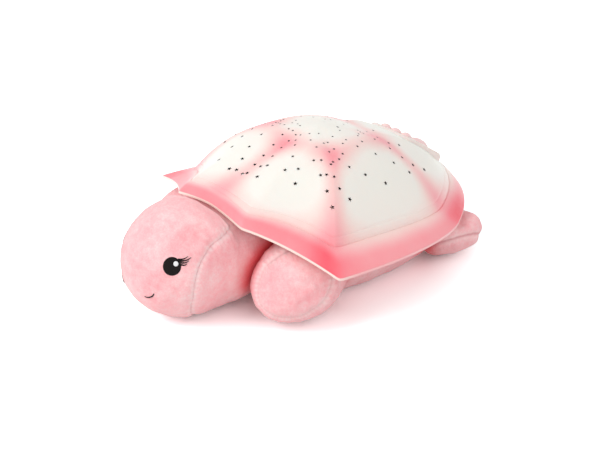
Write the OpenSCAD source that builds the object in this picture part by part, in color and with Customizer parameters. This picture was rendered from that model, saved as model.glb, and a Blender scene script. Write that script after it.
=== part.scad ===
// Star night light: a stuffed turtle that carries a moulded, star-pierced
// plastic shell with a lamp inside it.
// Frame: +Z up, the head looks along -Y, the turtle's left side is +X.
// The origin lies on the table, at the middle of the whole outline.

/* [Shell outline] */
// Half width of the rim at the shoulder corners
shoulder_x = 120.5; // [114:0.5:126]
// Place of the shoulder corners along the body
shoulder_y = -59; // [-64:1:-54]
// Height of the rim at the shoulder corners
shoulder_z = 59; // [56:1:62]
// Half width of the neck arch
neck_x = 42.5; // [36:0.5:46]
// Front edge of the rim above the neck
neck_y = -95; // [-98:1:-92]
// Height of the rim where the neck arch ends
neck_z = 85; // [83:1:90]
// Rise of the neck arch at its middle
arch_rise = 4.5; // [3:0.5:8]
// Half width of the rim at the rear corners
haunch_x = 94; // [88:1:98]
// Place of the rear corners along the body
haunch_y = 102; // [96:1:108]
// Height of the rim at the rear corners
haunch_z = 45; // [44:1:50]
// Rear edge of the rim
rear_y = 175; // [171:1:178]
// Height of the rear edge of the rim
rear_z = 40; // [38:1:46]
// Thickness of the rim's edge
edge_t = 2.6; // [2:0.1:4]
// Wall of the shell
shell_wall = 2.2; // [1.6:0.1:3]

/* [Dome] */
// Height of the top of the dome
dome_z = 126; // [122:1:132]
// Place of the top of the dome along the body
dome_y = 21; // [10:1:30]
// Front ridge hub, along the body
front_hub_y = -15; // [-22:1:-8]
// Front ridge hub, below the top
front_hub_drop = 8; // [5:0.5:14]
// Side ridge hubs, half their distance
side_hub_x = 44; // [38:1:50]
// Side ridge hubs, along the body
side_hub_y = 0; // [-8:1:8]
// Side ridge hubs, below the top
side_hub_drop = 7; // [5:0.5:14]
// Rear ridge hubs, half their distance
rear_hub_x = 30; // [25:1:36]
// Rear ridge hubs, along the body
rear_hub_y = 68; // [60:1:74]
// Rear ridge hubs, below the top
rear_hub_drop = 16; // [10:0.5:20]
// How far the top plate's edges arch up between its hubs
hub_arch = 5; // [2:0.5:8]
// The same for the rear edge, above the control pad
rear_arch = 1.5; // [0:0.5:6]

/* [Stars] */
// Tip radius of the largest stars
star_r = 2.2; // [1.5:0.1:2.6]
// Tip radius of the smallest stars
star_small_r = 1.1; // [0.8:0.1:1.4]

/* [Control pad] */
// Width of the raised pad
pad_w = 50; // [48:1:54]
// Length of the pad down the slope
pad_l = 64; // [62:1:68]
// Middle of the pad along the body
pad_y = 129.5; // [128:0.5:131]
// Height of the middle of the pad's face
pad_z = 84; // [83:0.5:86]
// Slope of the pad at its middle
pad_tilt = 35; // [34:0.5:36.5]
// Radius that the pad's face is curved to
pad_curve = 203; // [190:1:220]
// Diameter of the colour buttons
button_d = 10; // [8:0.5:11]
// Distance between the colour buttons
button_pitch = 13; // [12.5:0.5:15]
// Diameter of the power button
power_d = 19; // [16:0.5:22]
// Travel of the buttons
button_travel = 1; // [0.5:0.1:1.2]

/* [Casing] */
// Half width of the casing tray
tray_x = 70; // [66:1:74]
// Half length of the casing tray
tray_y = 92; // [86:1:96]
// Height of the tray's underside above the table
tray_z = 13; // [11:1:16]
// Height of the tray's wall
tray_h = 38; // [34:1:40]
// Wall of the tray
tray_wall = 2.2; // [1.8:0.1:3]
// Diameter of a battery cell
cell_d = 10.5; // [10:0.1:11]
// Length of a battery cell
cell_l = 44.5; // [43:0.5:46]
// Height of the lamps above the tray's floor
lamp_h = 42; // [36:1:48]

/* [Stuffed body] */
// Half width of the body at its widest
body_x = 84; // [80:1:88]
// Half length of the body at its longest
body_y = 108; // [104:1:112]
// Middle of the body along the turtle
body_mid_y = 32; // [28:1:34]
// Height of the body's upper edge
body_z = 45; // [42:1:48]
// Half width of the head
head_x = 46.5; // [44:0.5:50]
// Half length of the head
head_y = 54; // [50:1:58]
// Half height of the head
head_z = 50; // [46:1:52]
// Middle of the head along the turtle
head_mid_y = -121; // [-124:1:-118]
// Middle of the head above the table
head_mid_z = 51; // [51:0.5:54]
// Diameter of the embroidered eyes
eye_d = 15; // [12:0.5:17]
// Gap between sewn pieces
seam_gap = 0.3; // [0.2:0.05:0.5]

/* [Belly flap] */
// Width of the belly opening
flap_w = 62; // [56:1:70]
// Length of the belly opening
flap_l = 76; // [70:1:84]
// Thickness of the padded flap
flap_t = 7; // [5:0.5:8]

/* [Hidden] */
$fn = 40;
fit = 0.3;      // gap between fitted pieces
snug = 0.1;     // gap between a screw and its hole
over = 1;       // how far a cutter runs past what it cuts

// ---- points and curves ----------------------------------------------------

function mirrored(p) = [-p.x, p.y, p.z];
function mix(a, b, s) = a + (b - a) * s;
function unit(v) = v / norm(v);

// Point at s on the weighted curve from p to r that bends towards q
function bend(p, q, r, w, s) =
    let (a = pow(1 - s, 2), b = 2 * w * s * (1 - s), c = s * s)
    (a * p + b * q + c * r) / (a + b + c);

// ---- shell skin ----------------------------------------------------------
// A place round the shell is t, from 0 to 5. The five ridges are at the whole
// numbers: 0 the neck, 1 the left shoulder, 2 the left rear corner, 3 and 4
// their mirror images. A level runs from the top of the dome to the rim.

neck_t = 0.38;
front_rim = [0, neck_y + 2, neck_z];
neck_rim = [neck_x, neck_y, neck_z];
shoulder_rim = [shoulder_x, shoulder_y, shoulder_z];
haunch_rim = [haunch_x, haunch_y, haunch_z];
rear_rim = [0, rear_y, rear_z];
neck_pull = [mix(neck_x, shoulder_x, 0.38), neck_y + 23, mix(neck_z, shoulder_z, 0.36)];
side_pull = [shoulder_x + 4, mix(shoulder_y, haunch_y, 0.71), mix(shoulder_z, haunch_z, 0.65)];
rear_pull = [mix(0, haunch_x, 0.54), rear_y - 7, rear_z];

// Width of the brim and the rise to the dome's foot, round half of the shell
brim_widths = [[0, 8], [neck_t, 10], [1, 30], [2, 16], [2.5, 12]];
brim_rises = [[0, 8], [neck_t, 8], [1, 11], [2, 11], [2.5, 15]];
// How straight the ridge falls: 1 is a straight line, 0 a full curve
straightness = [[0, 0.9], [1, 0.45], [2, 0.6], [2.25, 0.3], [2.5, 0.5]];
side_power = 2.4;
top_power = 1.6;

front_hub = [0, front_hub_y, dome_z - front_hub_drop];
side_hub = [side_hub_x, side_hub_y, dome_z - side_hub_drop];
rear_hub = [rear_hub_x, rear_hub_y, dome_z - rear_hub_drop];

function half_rim(t) =
    t <= neck_t
        ? mix(front_rim, neck_rim, t / neck_t) + [0, 0, arch_rise * cos(90 * t / neck_t)]
    : t <= 1
        ? bend(neck_rim, neck_pull, shoulder_rim, 1, (t - neck_t) / (1 - neck_t))
    : t <= 2
        ? bend(shoulder_rim, side_pull, haunch_rim, 1, t - 1)
        : bend(haunch_rim, rear_pull, rear_rim, 1, (t - 2) * 2);

function half_foot(t) =
    let (p = half_rim(t), inward = unit([-p.x, dome_y - p.y]) * lookup(t, brim_widths))
    [p.x + inward.x, p.y + inward.y, p.z + lookup(t, brim_rises)];

function arched(p, q, rise, s) = mix(p, q, s) + [0, 0, rise * 4 * s * (1 - s)];
function half_hub(t) =
    t <= 1 ? arched(front_hub, side_hub, hub_arch, t)
    : t <= 2 ? arched(side_hub, rear_hub, hub_arch, t - 1)
    : arched(rear_hub, mirrored(rear_hub), rear_arch, t - 2);

// ring 0 is the rim, 1 the dome's foot, 2 the edge of the top plate
function half_ring(ring, t) = ring == 0 ? half_rim(t) : ring == 1 ? half_foot(t) : half_hub(t);
function sharp_ring(ring, t) =
    let (u = t < 0 ? t + 5 : t >= 5 ? t - 5 : t)
    u <= 2.5 ? half_ring(ring, u) : mirrored(half_ring(ring, 5 - u));

// Corners are rounded by averaging the ring over a short stretch
corner_blend = [0.015, 0.04, 0.06];
function ring_point(ring, t) =
    let (d = corner_blend[ring])
    (sharp_ring(ring, t - d) + 2 * sharp_ring(ring, t) + sharp_ring(ring, t + d)) / 4;

function mirror_t(t) = t <= 2.5 ? t : 5 - t;
function fall(t, s) =
    let (a = lookup(mirror_t(t), straightness))
    a * s + (1 - a) * pow(s, side_power);

// Levels: 0 to 1 is the top plate, 1 to 2 the side plates, 2 to 3 the brim
brim_crown = 0.32;
function skin_point(t, level) =
    level <= 1
        ? let (h = ring_point(2, t))
          [h.x * level, mix(dome_y, h.y, level), dome_z - (dome_z - h.z) * pow(level, top_power)]
    : level <= 2
        ? let (h = ring_point(2, t), f = ring_point(1, t), s = level - 1, q = mix(h, f, s))
          [q.x, q.y, h.z - (h.z - f.z) * fall(t, s)]
        : let (f = ring_point(1, t), r = ring_point(0, t), s = level - 2, q = mix(f, r, s))
          [q.x, q.y, f.z - (f.z - r.z) * (s * (1 - brim_crown) + s * s * brim_crown)];

// Outward normal, from nearby points
step_t = 0.02;
step_level = 0.02;
function normal(t, level) =
    let (
        l = max(level, 2 * step_level),
        along = skin_point(t + step_t > 5 ? t + step_t - 5 : t + step_t, l)
              - skin_point(t - step_t < 0 ? t - step_t + 5 : t - step_t, l),
        down = skin_point(t, min(l + step_level, 3)) - skin_point(t, l - step_level)
    )
    unit(cross(down, along));

shell_stations = 50;
shell_levels = [0.5, 1, 1.16, 1.34, 1.54, 1.77, 2, 2.3, 2.65, 3];
inner_levels = [2.85, 2.3, 2, 1.77, 1.54, 1.34, 1.16, 1, 0.5];

function skin_ring(level, depth) = [
    for (i = [0:shell_stations - 1])
        let (t = 5 * i / shell_stations)
        skin_point(t, level) - depth * normal(t, level)
];
function dropped(ring, z) = [for (p = ring) p - [0, 0, z]];
function levelled(ring, z) = [for (p = ring) [p.x, p.y, z]];

// A closed solid from rings of points between two end points
module rings_solid(first, rings, last) {
    n = len(rings[0]);
    points = concat([first], [for (r = rings) for (p = r) p], [last]);
    end = len(points) - 1;
    base = 1 + (len(rings) - 1) * n;
    polyhedron(points, concat(
        [for (i = [0:n - 1]) [0, 1 + (i + 1) % n, 1 + i]],
        [for (k = [0:len(rings) - 2]) for (i = [0:n - 1])
            let (a = 1 + k * n + i, b = 1 + k * n + (i + 1) % n)
            each [[a, b + n, a + n], [a, b, b + n]]],
        [for (i = [0:n - 1]) [end, base + i, base + (i + 1) % n]]
    ));
}

// The moulded skin: down the outside, round the rim's edge and up the inside
module shell_skin() {
    outer = [for (level = shell_levels) skin_ring(level, 0)];
    inner = [for (level = inner_levels) skin_ring(level, shell_wall)];
    rim_edge = dropped(outer[len(outer) - 1], edge_t);
    rings_solid(
        [0, dome_y, dome_z],
        concat(outer, [rim_edge], inner),
        [0, dome_y, dome_z - shell_wall]
    );
}

// Everything under the middle of the shell's wall, down to the table
module under_shell() {
    rings = [for (level = shell_levels) skin_ring(level, shell_wall / 2)];
    rings_solid(
        [0, dome_y, dome_z - shell_wall / 2],
        concat(rings, [levelled(rings[len(rings) - 1], 0)]),
        [0, dome_y, 0]
    );
}

// Everything above the shell's underside, for cutting the stuffed pieces
module above_shell() {
    inner = [for (level = shell_levels) skin_ring(level, shell_wall + 3 * seam_gap)];
    rim = dropped(skin_ring(3, -seam_gap), edge_t + 3 * seam_gap);
    rings_solid(
        [0, dome_y, 2 * dome_z],
        concat([levelled(rim, 2 * dome_z), rim], [for (k = [len(inner) - 2:-1:0]) inner[k]]),
        [0, dome_y, dome_z - shell_wall - 3 * seam_gap]
    );
}

// ---- stars ------------------------------------------------------------------
// The stars follow an even spiral sequence, pulled towards the ridges and the top

star_count = 136;
star_t_step = 0.6180340;
star_level_step = 0.7548777;
star_first_level = 0.3;
star_last_level = 1.7;
ridge_pull = 0.62;
level_pull = 0.7;
star_depth = shell_wall + 3;
star_waist = 0.45;
star_taper = 1.25;
pad_margin = 0.26;

function fraction(v) = v - floor(v);
function star_share(k) = fraction((k + 0.5) * star_level_step);
function star_t(k) =
    let (u = 5 * fraction((k + 0.5) * star_t_step), s = fraction(u))
    floor(u) + s - ridge_pull * sin(360 * s) / 6.2831853;
function star_level(k) = mix(star_first_level, star_last_level, pow(star_share(k), level_pull));
function star_size(k) = mix(star_small_r, star_r, pow(star_share(k), 1.5));
// Stars stay off the pad and its edge
function star_kept(k) = abs(star_t(k) - 2.5) > pad_margin || star_level(k) < 1.1;

module star(r) {
    polygon([for (i = [0:9])
        let (d = i % 2 == 0 ? r : r * star_waist)
        [d * sin(36 * i), d * cos(36 * i)]]);
}

// Turns +Z towards v at p
module aimed(p, v) {
    translate(p) rotate([0, acos(v.z), atan2(v.y, v.x)]) children();
}

module star_holes() {
    for (k = [0:star_count - 1]) {
        if (star_kept(k)) {
            t = star_t(k);
            level = star_level(k);
            aimed(skin_point(t, level), -normal(t, level))
                rotate(137 * k)
                translate([0, 0, -over])
                linear_extrude(star_depth, scale = star_taper)
                star(star_size(k));
        }
    }
}

// ---- control pad ------------------------------------------------------------

pad_corner = 12;
pad_plate = 2.5;
pad_skirt = 14;
pad_wall = 2;
pad_window = 30;       // depth of the cut that the pad sits in, above and below
rail_y = -18;          // row of colour buttons, up the slope from the pad's middle
power_y = 18;          // power button, down the slope
well_r = 3;            // width of the dished ring round the power button
well_depth = 0.8;
cap_flange = 1.35;
cap_flange_t = 1.4;
board_gap = 8;         // from the pad's plate down to the button boards
board_t = 1.6;
board_top = -pad_plate - board_gap;
board_w = 40;
board_corner = 4;
row_board_l = 22;
row_board_y = 3;       // the row's board reaches further down than up
power_board_l = 20;
post_r = 3;
post_x = board_w / 2 - post_r - 0.5;
row_post_y = row_board_y + row_board_l / 2 - post_r - 1.4;
colour_rise = 3;
power_rise = 4.2;

module on_pad() {
    translate([0, pad_y, pad_z]) rotate([-pad_tilt, 0, 0]) children();
}

// The frame that touches the pad's curved face at y down the slope
function slope_turn(y) = y / pad_curve * 180 / PI;
module on_face(y) {
    on_pad() translate([0, 0, -pad_curve]) rotate([-slope_turn(y), 0, 0])
        translate([0, 0, pad_curve]) children();
}
module on_row() { on_face(rail_y) children(); }
module on_power() { on_face(power_y) children(); }

// The Y-Z place of a point of that frame, z above the face and s down the slope
function face_place(y, s, z) =
    let (a = pad_tilt + slope_turn(y))
    [
        pad_y + pad_curve * (sin(a) - sin(pad_tilt)) + z * sin(a) + s * cos(a),
        pad_z + pad_curve * (cos(a) - cos(pad_tilt)) + z * cos(a) - s * sin(a)
    ];

// All that lies under the pad's curved face, or a depth below it
module under_face(depth) {
    translate([-pad_w, 0, -pad_curve]) rotate([0, 90, 0])
        cylinder(h = 2 * pad_w, r = pad_curve - depth, $fn = 240);
}

module rounded_rect(w, l, r) {
    square([w - 2 * r, l], center = true);
    square([w, l - 2 * r], center = true);
    for (x = [-1, 1], y = [-1, 1]) {
        translate([x * (w / 2 - r), y * (l / 2 - r)]) circle(r);
    }
}

module slab(w, l, r, z0, z1) {
    translate([0, 0, z0]) linear_extrude(z1 - z0) rounded_rect(w, l, r);
}

module at_colour_buttons() {
    on_row() for (i = [-1:1]) translate([i * button_pitch, 0, 0]) children();
}

module at_corners(x, y) {
    for (sx = [-1, 1], sy = [-1, 1]) translate([sx * x, sy * y, 0]) children();
}

module at_posts() {
    on_row() for (x = [-1, 1]) translate([x * post_x, row_post_y, 0]) children();
    on_power() for (x = [-1, 1]) translate([x * post_x, 0, 0]) children();
}

module control_pad() {
    color("mistyrose") difference() {
        union() {
            on_pad() difference() {
                intersection() {
                    slab(pad_w, pad_l, pad_corner, -pad_skirt, pad_plate);
                    under_face(0);
                }
                intersection() {
                    slab(pad_w - 2 * pad_wall, pad_l - 2 * pad_wall, pad_corner - pad_wall,
                        -pad_skirt - over, pad_plate);
                    under_face(pad_plate);
                }
            }
            at_posts() translate([0, 0, board_top]) cylinder(h = board_gap + over, r = post_r);
        }
        at_colour_buttons() translate([0, 0, -pad_plate - over])
            cylinder(h = pad_plate + 2 * over, r = button_d / 2 + fit);
        on_power() translate([0, 0, -pad_plate - over])
            cylinder(h = pad_plate + 2 * over, r = power_d / 2 + fit);
        on_power() translate([0, 0, -well_depth])
            cylinder(h = well_depth + over, r1 = power_d / 2 + fit, r2 = power_d / 2 + well_r);
        at_posts() translate([0, 0, board_top - over]) cylinder(h = board_gap, r = screw_r + snug);
    }
}

// A domed key with a flange under the pad's plate and a stem towards its switch.
// The flange lies deep enough to clear the plate's curve.
module key(d, rise) {
    dome_r = (pow(d / 2, 2) + pow(rise - 1, 2)) / (2 * (rise - 1));
    flange_r = d / 2 + cap_flange;
    foot = -pad_plate - fit - pow(flange_r, 2) / (2 * (pad_curve - pad_plate)) - cap_flange_t;
    intersection() {
        translate([0, 0, foot]) cylinder(h = rise - foot, r = d / 2);
        translate([0, 0, rise - dome_r]) sphere(dome_r, $fn = 64);
    }
    translate([0, 0, foot]) cylinder(h = -foot, r = d / 2);
    translate([0, 0, foot]) cylinder(h = cap_flange_t, r = flange_r);
    translate([0, 0, switch_top + button_travel + fit]) cylinder(h = board_gap / 2, r = 1.8);
}

switch_w = 6;
switch_h = 3;
plunger_h = 0.8;
switch_top = board_top + switch_h + plunger_h;

module power_button() { color("lightpink") on_power() key(power_d, power_rise); }

module colour_button(i) {
    color("lightpink") on_row() translate([i * button_pitch, 0, 0]) key(button_d, colour_rise);
}

module left_button() { colour_button(1); }
module middle_button() { colour_button(0); }
module right_button() { colour_button(-1); }

// One board under the row of colour buttons and one under the power button
module button_board() {
    color("seagreen") difference() {
        union() {
            on_row() translate([0, row_board_y, 0])
                slab(board_w, row_board_l, board_corner, board_top - board_t, board_top);
            on_power() slab(board_w, power_board_l, board_corner, board_top - board_t, board_top);
        }
        at_posts() translate([0, 0, board_top - board_t - over])
            cylinder(h = board_t + 2 * over, r = screw_r + snug);
    }
}

module switch() {
    translate([-switch_w / 2, -switch_w / 2, board_top]) cube([switch_w, switch_w, switch_h]);
    translate([0, 0, board_top]) cylinder(h = switch_h + plunger_h, r = 1.7);
}

module button_switches() {
    color("dimgray") {
        at_colour_buttons() switch();
        on_power() switch();
    }
}

// Pan-head screw that points along +Z, its head's top at the origin
module screw(r, l, head_r, head_h) {
    difference() {
        union() {
            cylinder(h = l, r = r);
            translate([0, 0, -head_h]) cylinder(h = head_h, r = head_r);
        }
        for (a = [0, 90]) {
            rotate(a) translate([-head_r * 0.6, -0.35, -head_h - over])
                cube([head_r * 1.2, 0.7, over + head_h * 0.6]);
        }
    }
}

screw_r = 1.1;
screw_head_r = 2;
screw_head_h = 1.4;

module pad_screws() {
    color("silver") at_posts() translate([0, 0, board_top - board_t])
        screw(screw_r, board_t + board_gap - 2, screw_head_r, screw_head_h);
}

// ---- casing tray --------------------------------------------------------------

tray_corner = 46;
tray_floor = 2.4;
tray_top = tray_z + tray_h;
deck = tray_z + tray_floor;            // upper side of the tray's floor
lip_h = 3;
cell_gap = 1;
cell_pitch = cell_d + cell_gap;
box_w = 3 * cell_pitch + 2;            // inside of the battery box
box_l = cell_l + 7;
box_wall = 2;
box_roof = tray_z + 2 + cell_d + 2;    // underside of the box's roof
box_mid_y = body_mid_y;
door_w = box_w - 2 * fit;
door_l = box_l + 9;
door_t = 2;
door_mid_y = box_mid_y - 4;
door_screw_y = box_mid_y - box_l / 2 - box_wall - 3.2;
fix_x = 50;
fix_front_y = -10;
fix_rear_y = 98;
fix_r = 4.6;
fix_top = tray_top - 4;
fix_plate = 7;
case_screw_r = 1.5;
case_screw_l = 17;
case_head_r = 2.8;
case_head_h = 2;
main_w = 84;
main_l = 34;
main_mid_y = -36;
main_z = deck + 6;
main_post_x = main_w / 2 - 5;
main_post_y = main_l / 2 - 5;

module tray_outline(grow) {
    rounded_rect(2 * (tray_x + grow), 2 * (tray_y + grow), tray_corner + grow);
}

module at_tray() { translate([0, body_mid_y, 0]) children(); }

module at_fixings() {
    for (x = [-fix_x, fix_x], y = [fix_front_y, fix_rear_y]) translate([x, y, 0]) children();
}

module at_main_posts() {
    translate([0, main_mid_y, 0]) at_corners(main_post_x, main_post_y) children();
}

module casing_tray() {
    color("whitesmoke") difference() {
        union() {
            at_tray() difference() {
                translate([0, 0, tray_z]) linear_extrude(tray_h) tray_outline(0);
                translate([0, 0, deck]) linear_extrude(tray_h) tray_outline(-tray_wall);
            }
            // tongue that centres the shell's skirt
            at_tray() translate([0, 0, tray_top - over]) linear_extrude(lip_h + over) difference() {
                tray_outline(-tray_wall / 2 - fit);
                tray_outline(-tray_wall);
            }
            translate([-box_w / 2 - box_wall, box_mid_y - box_l / 2 - box_wall, tray_z])
                cube([box_w + 2 * box_wall, box_l + 2 * box_wall, box_roof + box_wall - tray_z]);
            translate([0, door_screw_y, tray_z]) cylinder(h = 9, r = 3.4);
            at_fixings() translate([0, 0, tray_z]) cylinder(h = fix_top - tray_z, r = fix_r);
            at_main_posts() translate([0, 0, tray_z]) cylinder(h = main_z - tray_z, r = 3);
        }
        translate([-box_w / 2, box_mid_y - box_l / 2, tray_z - over])
            cube([box_w, box_l, box_roof - tray_z + over]);
        translate([-door_w / 2 - fit, door_mid_y - door_l / 2 - fit, tray_z - over])
            cube([door_w + 2 * fit, door_l + 2 * fit, door_t + over]);
        translate([0, door_screw_y, tray_z - over]) cylinder(h = 9, r = screw_r + snug);
        at_fixings() {
            translate([0, 0, tray_z - over])
                cylinder(h = fix_top - fix_plate - tray_z + over, r = case_head_r + fit);
            translate([0, 0, tray_z]) cylinder(h = tray_h, r = case_screw_r + snug);
        }
        at_main_posts() translate([0, 0, deck]) cylinder(h = main_z, r = screw_r + snug);
    }
}

module battery_door() {
    color("whitesmoke") difference() {
        union() {
            translate([-door_w / 2, door_mid_y - door_l / 2, tray_z]) cube([door_w, door_l, door_t]);
            // two tongues that hook over the tray's floor
            for (x = [-1, 1]) {
                translate([x * door_w / 4 - 3, door_mid_y + door_l / 2 - 6, tray_z + door_t])
                    cube([6, 3, 0.6]);
            }
        }
        translate([0, door_screw_y, tray_z - over]) cylinder(h = door_t + 2 * over, r = screw_r + snug);
        translate([0, door_screw_y, tray_z - over])
            cylinder(h = over + screw_head_h * 0.8, r = screw_head_r + fit);
        // grip lines
        for (i = [0:4]) {
            translate([-8, door_mid_y + door_l / 2 - 18 + 3 * i, tray_z - over]) cube([16, 1, over + 0.5]);
        }
    }
}

module door_screw() {
    color("silver") translate([0, door_screw_y, tray_z + screw_head_h * 0.8])
        screw(screw_r, 6, screw_head_r, screw_head_h * 0.8);
}

module at_cells() {
    for (i = [-1:1]) translate([i * cell_pitch, box_mid_y, tray_z + door_t + 0.6 + cell_d / 2])
        rotate([i == 0 ? 90 : -90, 0, 0]) children();
}

nub_r = 2.7;
nub_h = 1.2;
module battery_cells() {
    color("gold") at_cells() {
        translate([0, 0, -cell_l / 2]) cylinder(h = cell_l - nub_h, r = cell_d / 2 - 0.1);
        translate([0, 0, cell_l / 2 - nub_h - over]) cylinder(h = nub_h + over, r = nub_r);
    }
}

// Pressed strips at both ends of the cells, each with a bowed spring leaf
contact_w = 8;
contact_t = 0.4;
module contact() {
    reach = (box_l - cell_l) / 2;
    translate([-contact_w / 2, reach - contact_t, -4.4]) cube([contact_w, contact_t, 8.8]);
    rotate([90, 0, 90]) translate([0, 0, -1.5]) linear_extrude(3)
        polygon([
            [reach - contact_t, -4], [reach, -4], [0.6, 0.6], [reach, 4],
            [reach - contact_t, 4], [0.1, 1], [0.1, 0]
        ]);
}

module battery_contacts() {
    color("silver") for (i = [-1:1], end = [0, 180]) {
        translate([i * cell_pitch, box_mid_y, tray_z + door_t + 0.6 + cell_d / 2])
            rotate(end) translate([0, cell_l / 2, 0]) contact();
    }
}

module main_board() {
    color("seagreen") translate([0, main_mid_y, 0]) difference() {
        slab(main_w, main_l, 3, main_z, main_z + board_t);
        at_corners(main_post_x, main_post_y) translate([0, 0, main_z - over])
            cylinder(h = board_t + 2 * over, r = screw_r + snug);
    }
}

// Timer chip, capacitor, crystal and the three cable sockets
module board_parts() {
    top = main_z + board_t;
    color("dimgray") {
        translate([-8, main_mid_y - 5, top]) cube([16, 9, 2.2]);
        translate([-22, main_mid_y + 3, top]) cylinder(h = 11, r = 4);
        translate([-28, main_mid_y - 9, top]) cube([9, 4, 3.2]);
        translate([cable_x - 1, main_mid_y + 4, top]) cube([cable_w + 2, 8, socket_h]);
        translate([-lamp_cable_w / 2 - 1, main_mid_y + 8, top]) cube([lamp_cable_w + 2, 6, socket_h]);
        for (x = [-1, 1]) translate([x * lead_x - 2, main_mid_y + 9, top]) cube([4, 6, socket_h]);
    }
}

module board_screws() {
    color("silver") at_main_posts() translate([0, 0, main_z + board_t]) mirror([0, 0, 1])
        screw(screw_r, board_t + 5, screw_head_r, screw_head_h);
}

module shell_screws() {
    color("silver") at_fixings() translate([0, 0, fix_top - fix_plate])
        screw(case_screw_r, case_screw_l, case_head_r, case_head_h);
}

// ---- lamp ------------------------------------------------------------------------

post_base = box_roof + box_wall;
lamp_z = deck + lamp_h;
lamp_post_r = 8;
lamp_foot_r = 15;
lamp_foot_t = 2.4;
lamp_board_r = 14;
lamp_screw_x = 10.5;
led_r = 2.5;
led_ring = 5;
led_h = 6;

module lamp_post() {
    color("whitesmoke") translate([0, dome_y, 0]) difference() {
        union() {
            translate([0, 0, post_base]) rotate_extrude() polygon([
                [0, 0], [lamp_foot_r, 0], [lamp_foot_r, lamp_foot_t], [lamp_post_r + 2, lamp_foot_t],
                [lamp_post_r, lamp_foot_t + 4], [lamp_post_r, lamp_z - post_base - 5],
                [lamp_board_r, lamp_z - post_base - 2], [lamp_board_r, lamp_z - post_base],
                [0, lamp_z - post_base]
            ]);
        }
        translate([0, 0, post_base - over]) cylinder(h = lamp_z - post_base - 4, r = lamp_post_r - 2);
        for (x = [-1, 1]) translate([x * lamp_screw_x, 0, lamp_z - 4]) cylinder(h = 5, r = screw_r + snug);
    }
}

module lamp_board() {
    color("white") translate([0, dome_y, lamp_z]) difference() {
        cylinder(h = board_t, r = lamp_board_r);
        for (x = [-1, 1]) translate([x * lamp_screw_x, 0, -over])
            cylinder(h = board_t + 2 * over, r = screw_r + snug);
    }
}

module lamp_screws() {
    color("silver") for (x = [-1, 1]) {
        translate([x * lamp_screw_x, dome_y, lamp_z + board_t]) mirror([0, 0, 1])
            screw(screw_r, board_t + 3, screw_head_r, screw_head_h);
    }
}

// Three lamps: one for each colour of the night sky
module leds() {
    for (i = [0:2]) {
        color(["deepskyblue", "limegreen", "orange"][i])
            translate([0, dome_y, lamp_z + board_t]) rotate(120 * i + 90) translate([led_ring, 0, 0]) {
                cylinder(h = 1, r = led_r + 0.4);
                cylinder(h = led_h, r = led_r);
                translate([0, 0, led_h]) sphere(led_r);
            }
    }
}

// ---- inner wiring -------------------------------------------------------------------

cable_x = 8;
cable_w = 8;
cable_t = 0.8;
lamp_cable_w = 5;
lead_x = 13;
lead_w = 1.4;
socket_h = 4;
cable_foot = main_z + board_t + socket_h + 0.4;
cable_seat = board_top - board_t - cable_t / 2 - fit;    // under a button board
button_route = [
    [-28, cable_foot], [-26, 31], [-20, 35], [0, 37], [40, 37],
    [80, 41], [104, 50], face_place(power_y, -2, cable_seat - 7),
    face_place(power_y, 1, cable_seat - 2), face_place(power_y, 6, cable_seat)
];
link_route = [
    face_place(power_y, -3, cable_seat), face_place(power_y, -12, cable_seat - 3),
    face_place(rail_y, 20, cable_seat - 3), face_place(rail_y, 10, cable_seat)
];
lamp_route = [
    [-25, cable_foot], [-24, 31], [-20, 38], [-12, 50], [-4, 56], [7, lamp_z - 1]
];
lead_route = [[-24, cable_foot], [-22, 30], [-14, 31.5], [-6, 31.5], [0, 30.5]];

// A flat cable along a route in the Y-Z plane, from x to x + w
module flat_cable(route, x, w) {
    sides = [for (i = [0:len(route) - 1])
        let (
            a = route[max(i - 1, 0)],
            b = route[min(i + 1, len(route) - 1)],
            d = unit(b - a)
        )
        [-d.y, d.x] * cable_t / 2];
    outline = concat(
        [for (i = [0:len(route) - 1]) route[i] + sides[i]],
        [for (i = [len(route) - 1:-1:0]) route[i] - sides[i]]
    );
    translate([x, 0, 0]) rotate([90, 0, 90]) linear_extrude(w) polygon(outline);
}

module button_cable() {
    color("gray") flat_cable(button_route, cable_x, cable_w);
    color("gray") flat_cable(link_route, -cable_w, cable_w);
}
module lamp_cable() { color("gray") flat_cable(lamp_route, -lamp_cable_w / 2, lamp_cable_w); }
module battery_leads() {
    color("firebrick") for (x = [-1, 1]) flat_cable(lead_route, x * lead_x - lead_w / 2, lead_w);
}

// ---- shell ------------------------------------------------------------------------------

skirt_t = 1.8;
boss_foot = fix_top + fit;
boss_hole = 16;

module shell_inside() {
    intersection() {
        under_shell();
        union() {
            at_tray() translate([0, 0, tray_top + fit]) linear_extrude(dome_z) difference() {
                tray_outline(0);
                tray_outline(-skirt_t / 2);
            }
            at_fixings() difference() {
                union() {
                    hull() {
                        translate([0, 0, boss_foot]) cylinder(h = 1, r = fix_r - 0.6, $fn = 20);
                        translate([0, 0, dome_z]) cylinder(h = 1, r = fix_r + 1.4, $fn = 20);
                    }
                    // webs that tie each boss to the shell
                    for (a = [45, 225]) rotate(a) hull() {
                        translate([0, -0.8, boss_foot + 12]) cube([fix_r, 1.6, 1]);
                        translate([0, -0.8, dome_z]) cube([fix_r + 6, 1.6, 1]);
                    }
                }
                translate([0, 0, boss_foot - over])
                    cylinder(h = boss_hole + over, r = case_screw_r + snug, $fn = 20);
            }
        }
    }
}

module shell() {
    color("ivory") difference() {
        union() {
            shell_skin();
            shell_inside();
        }
        star_holes();
        on_pad() slab(pad_w + 2 * fit, pad_l + 2 * fit, pad_corner + fit, -pad_window, pad_window);
    }
}

// ---- stuffed pieces ------------------------------------------------------------------------

body_slices = 9;
body_sides = 32;
body_foot = 0.7;       // the flat underside's share of the widest outline

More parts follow.
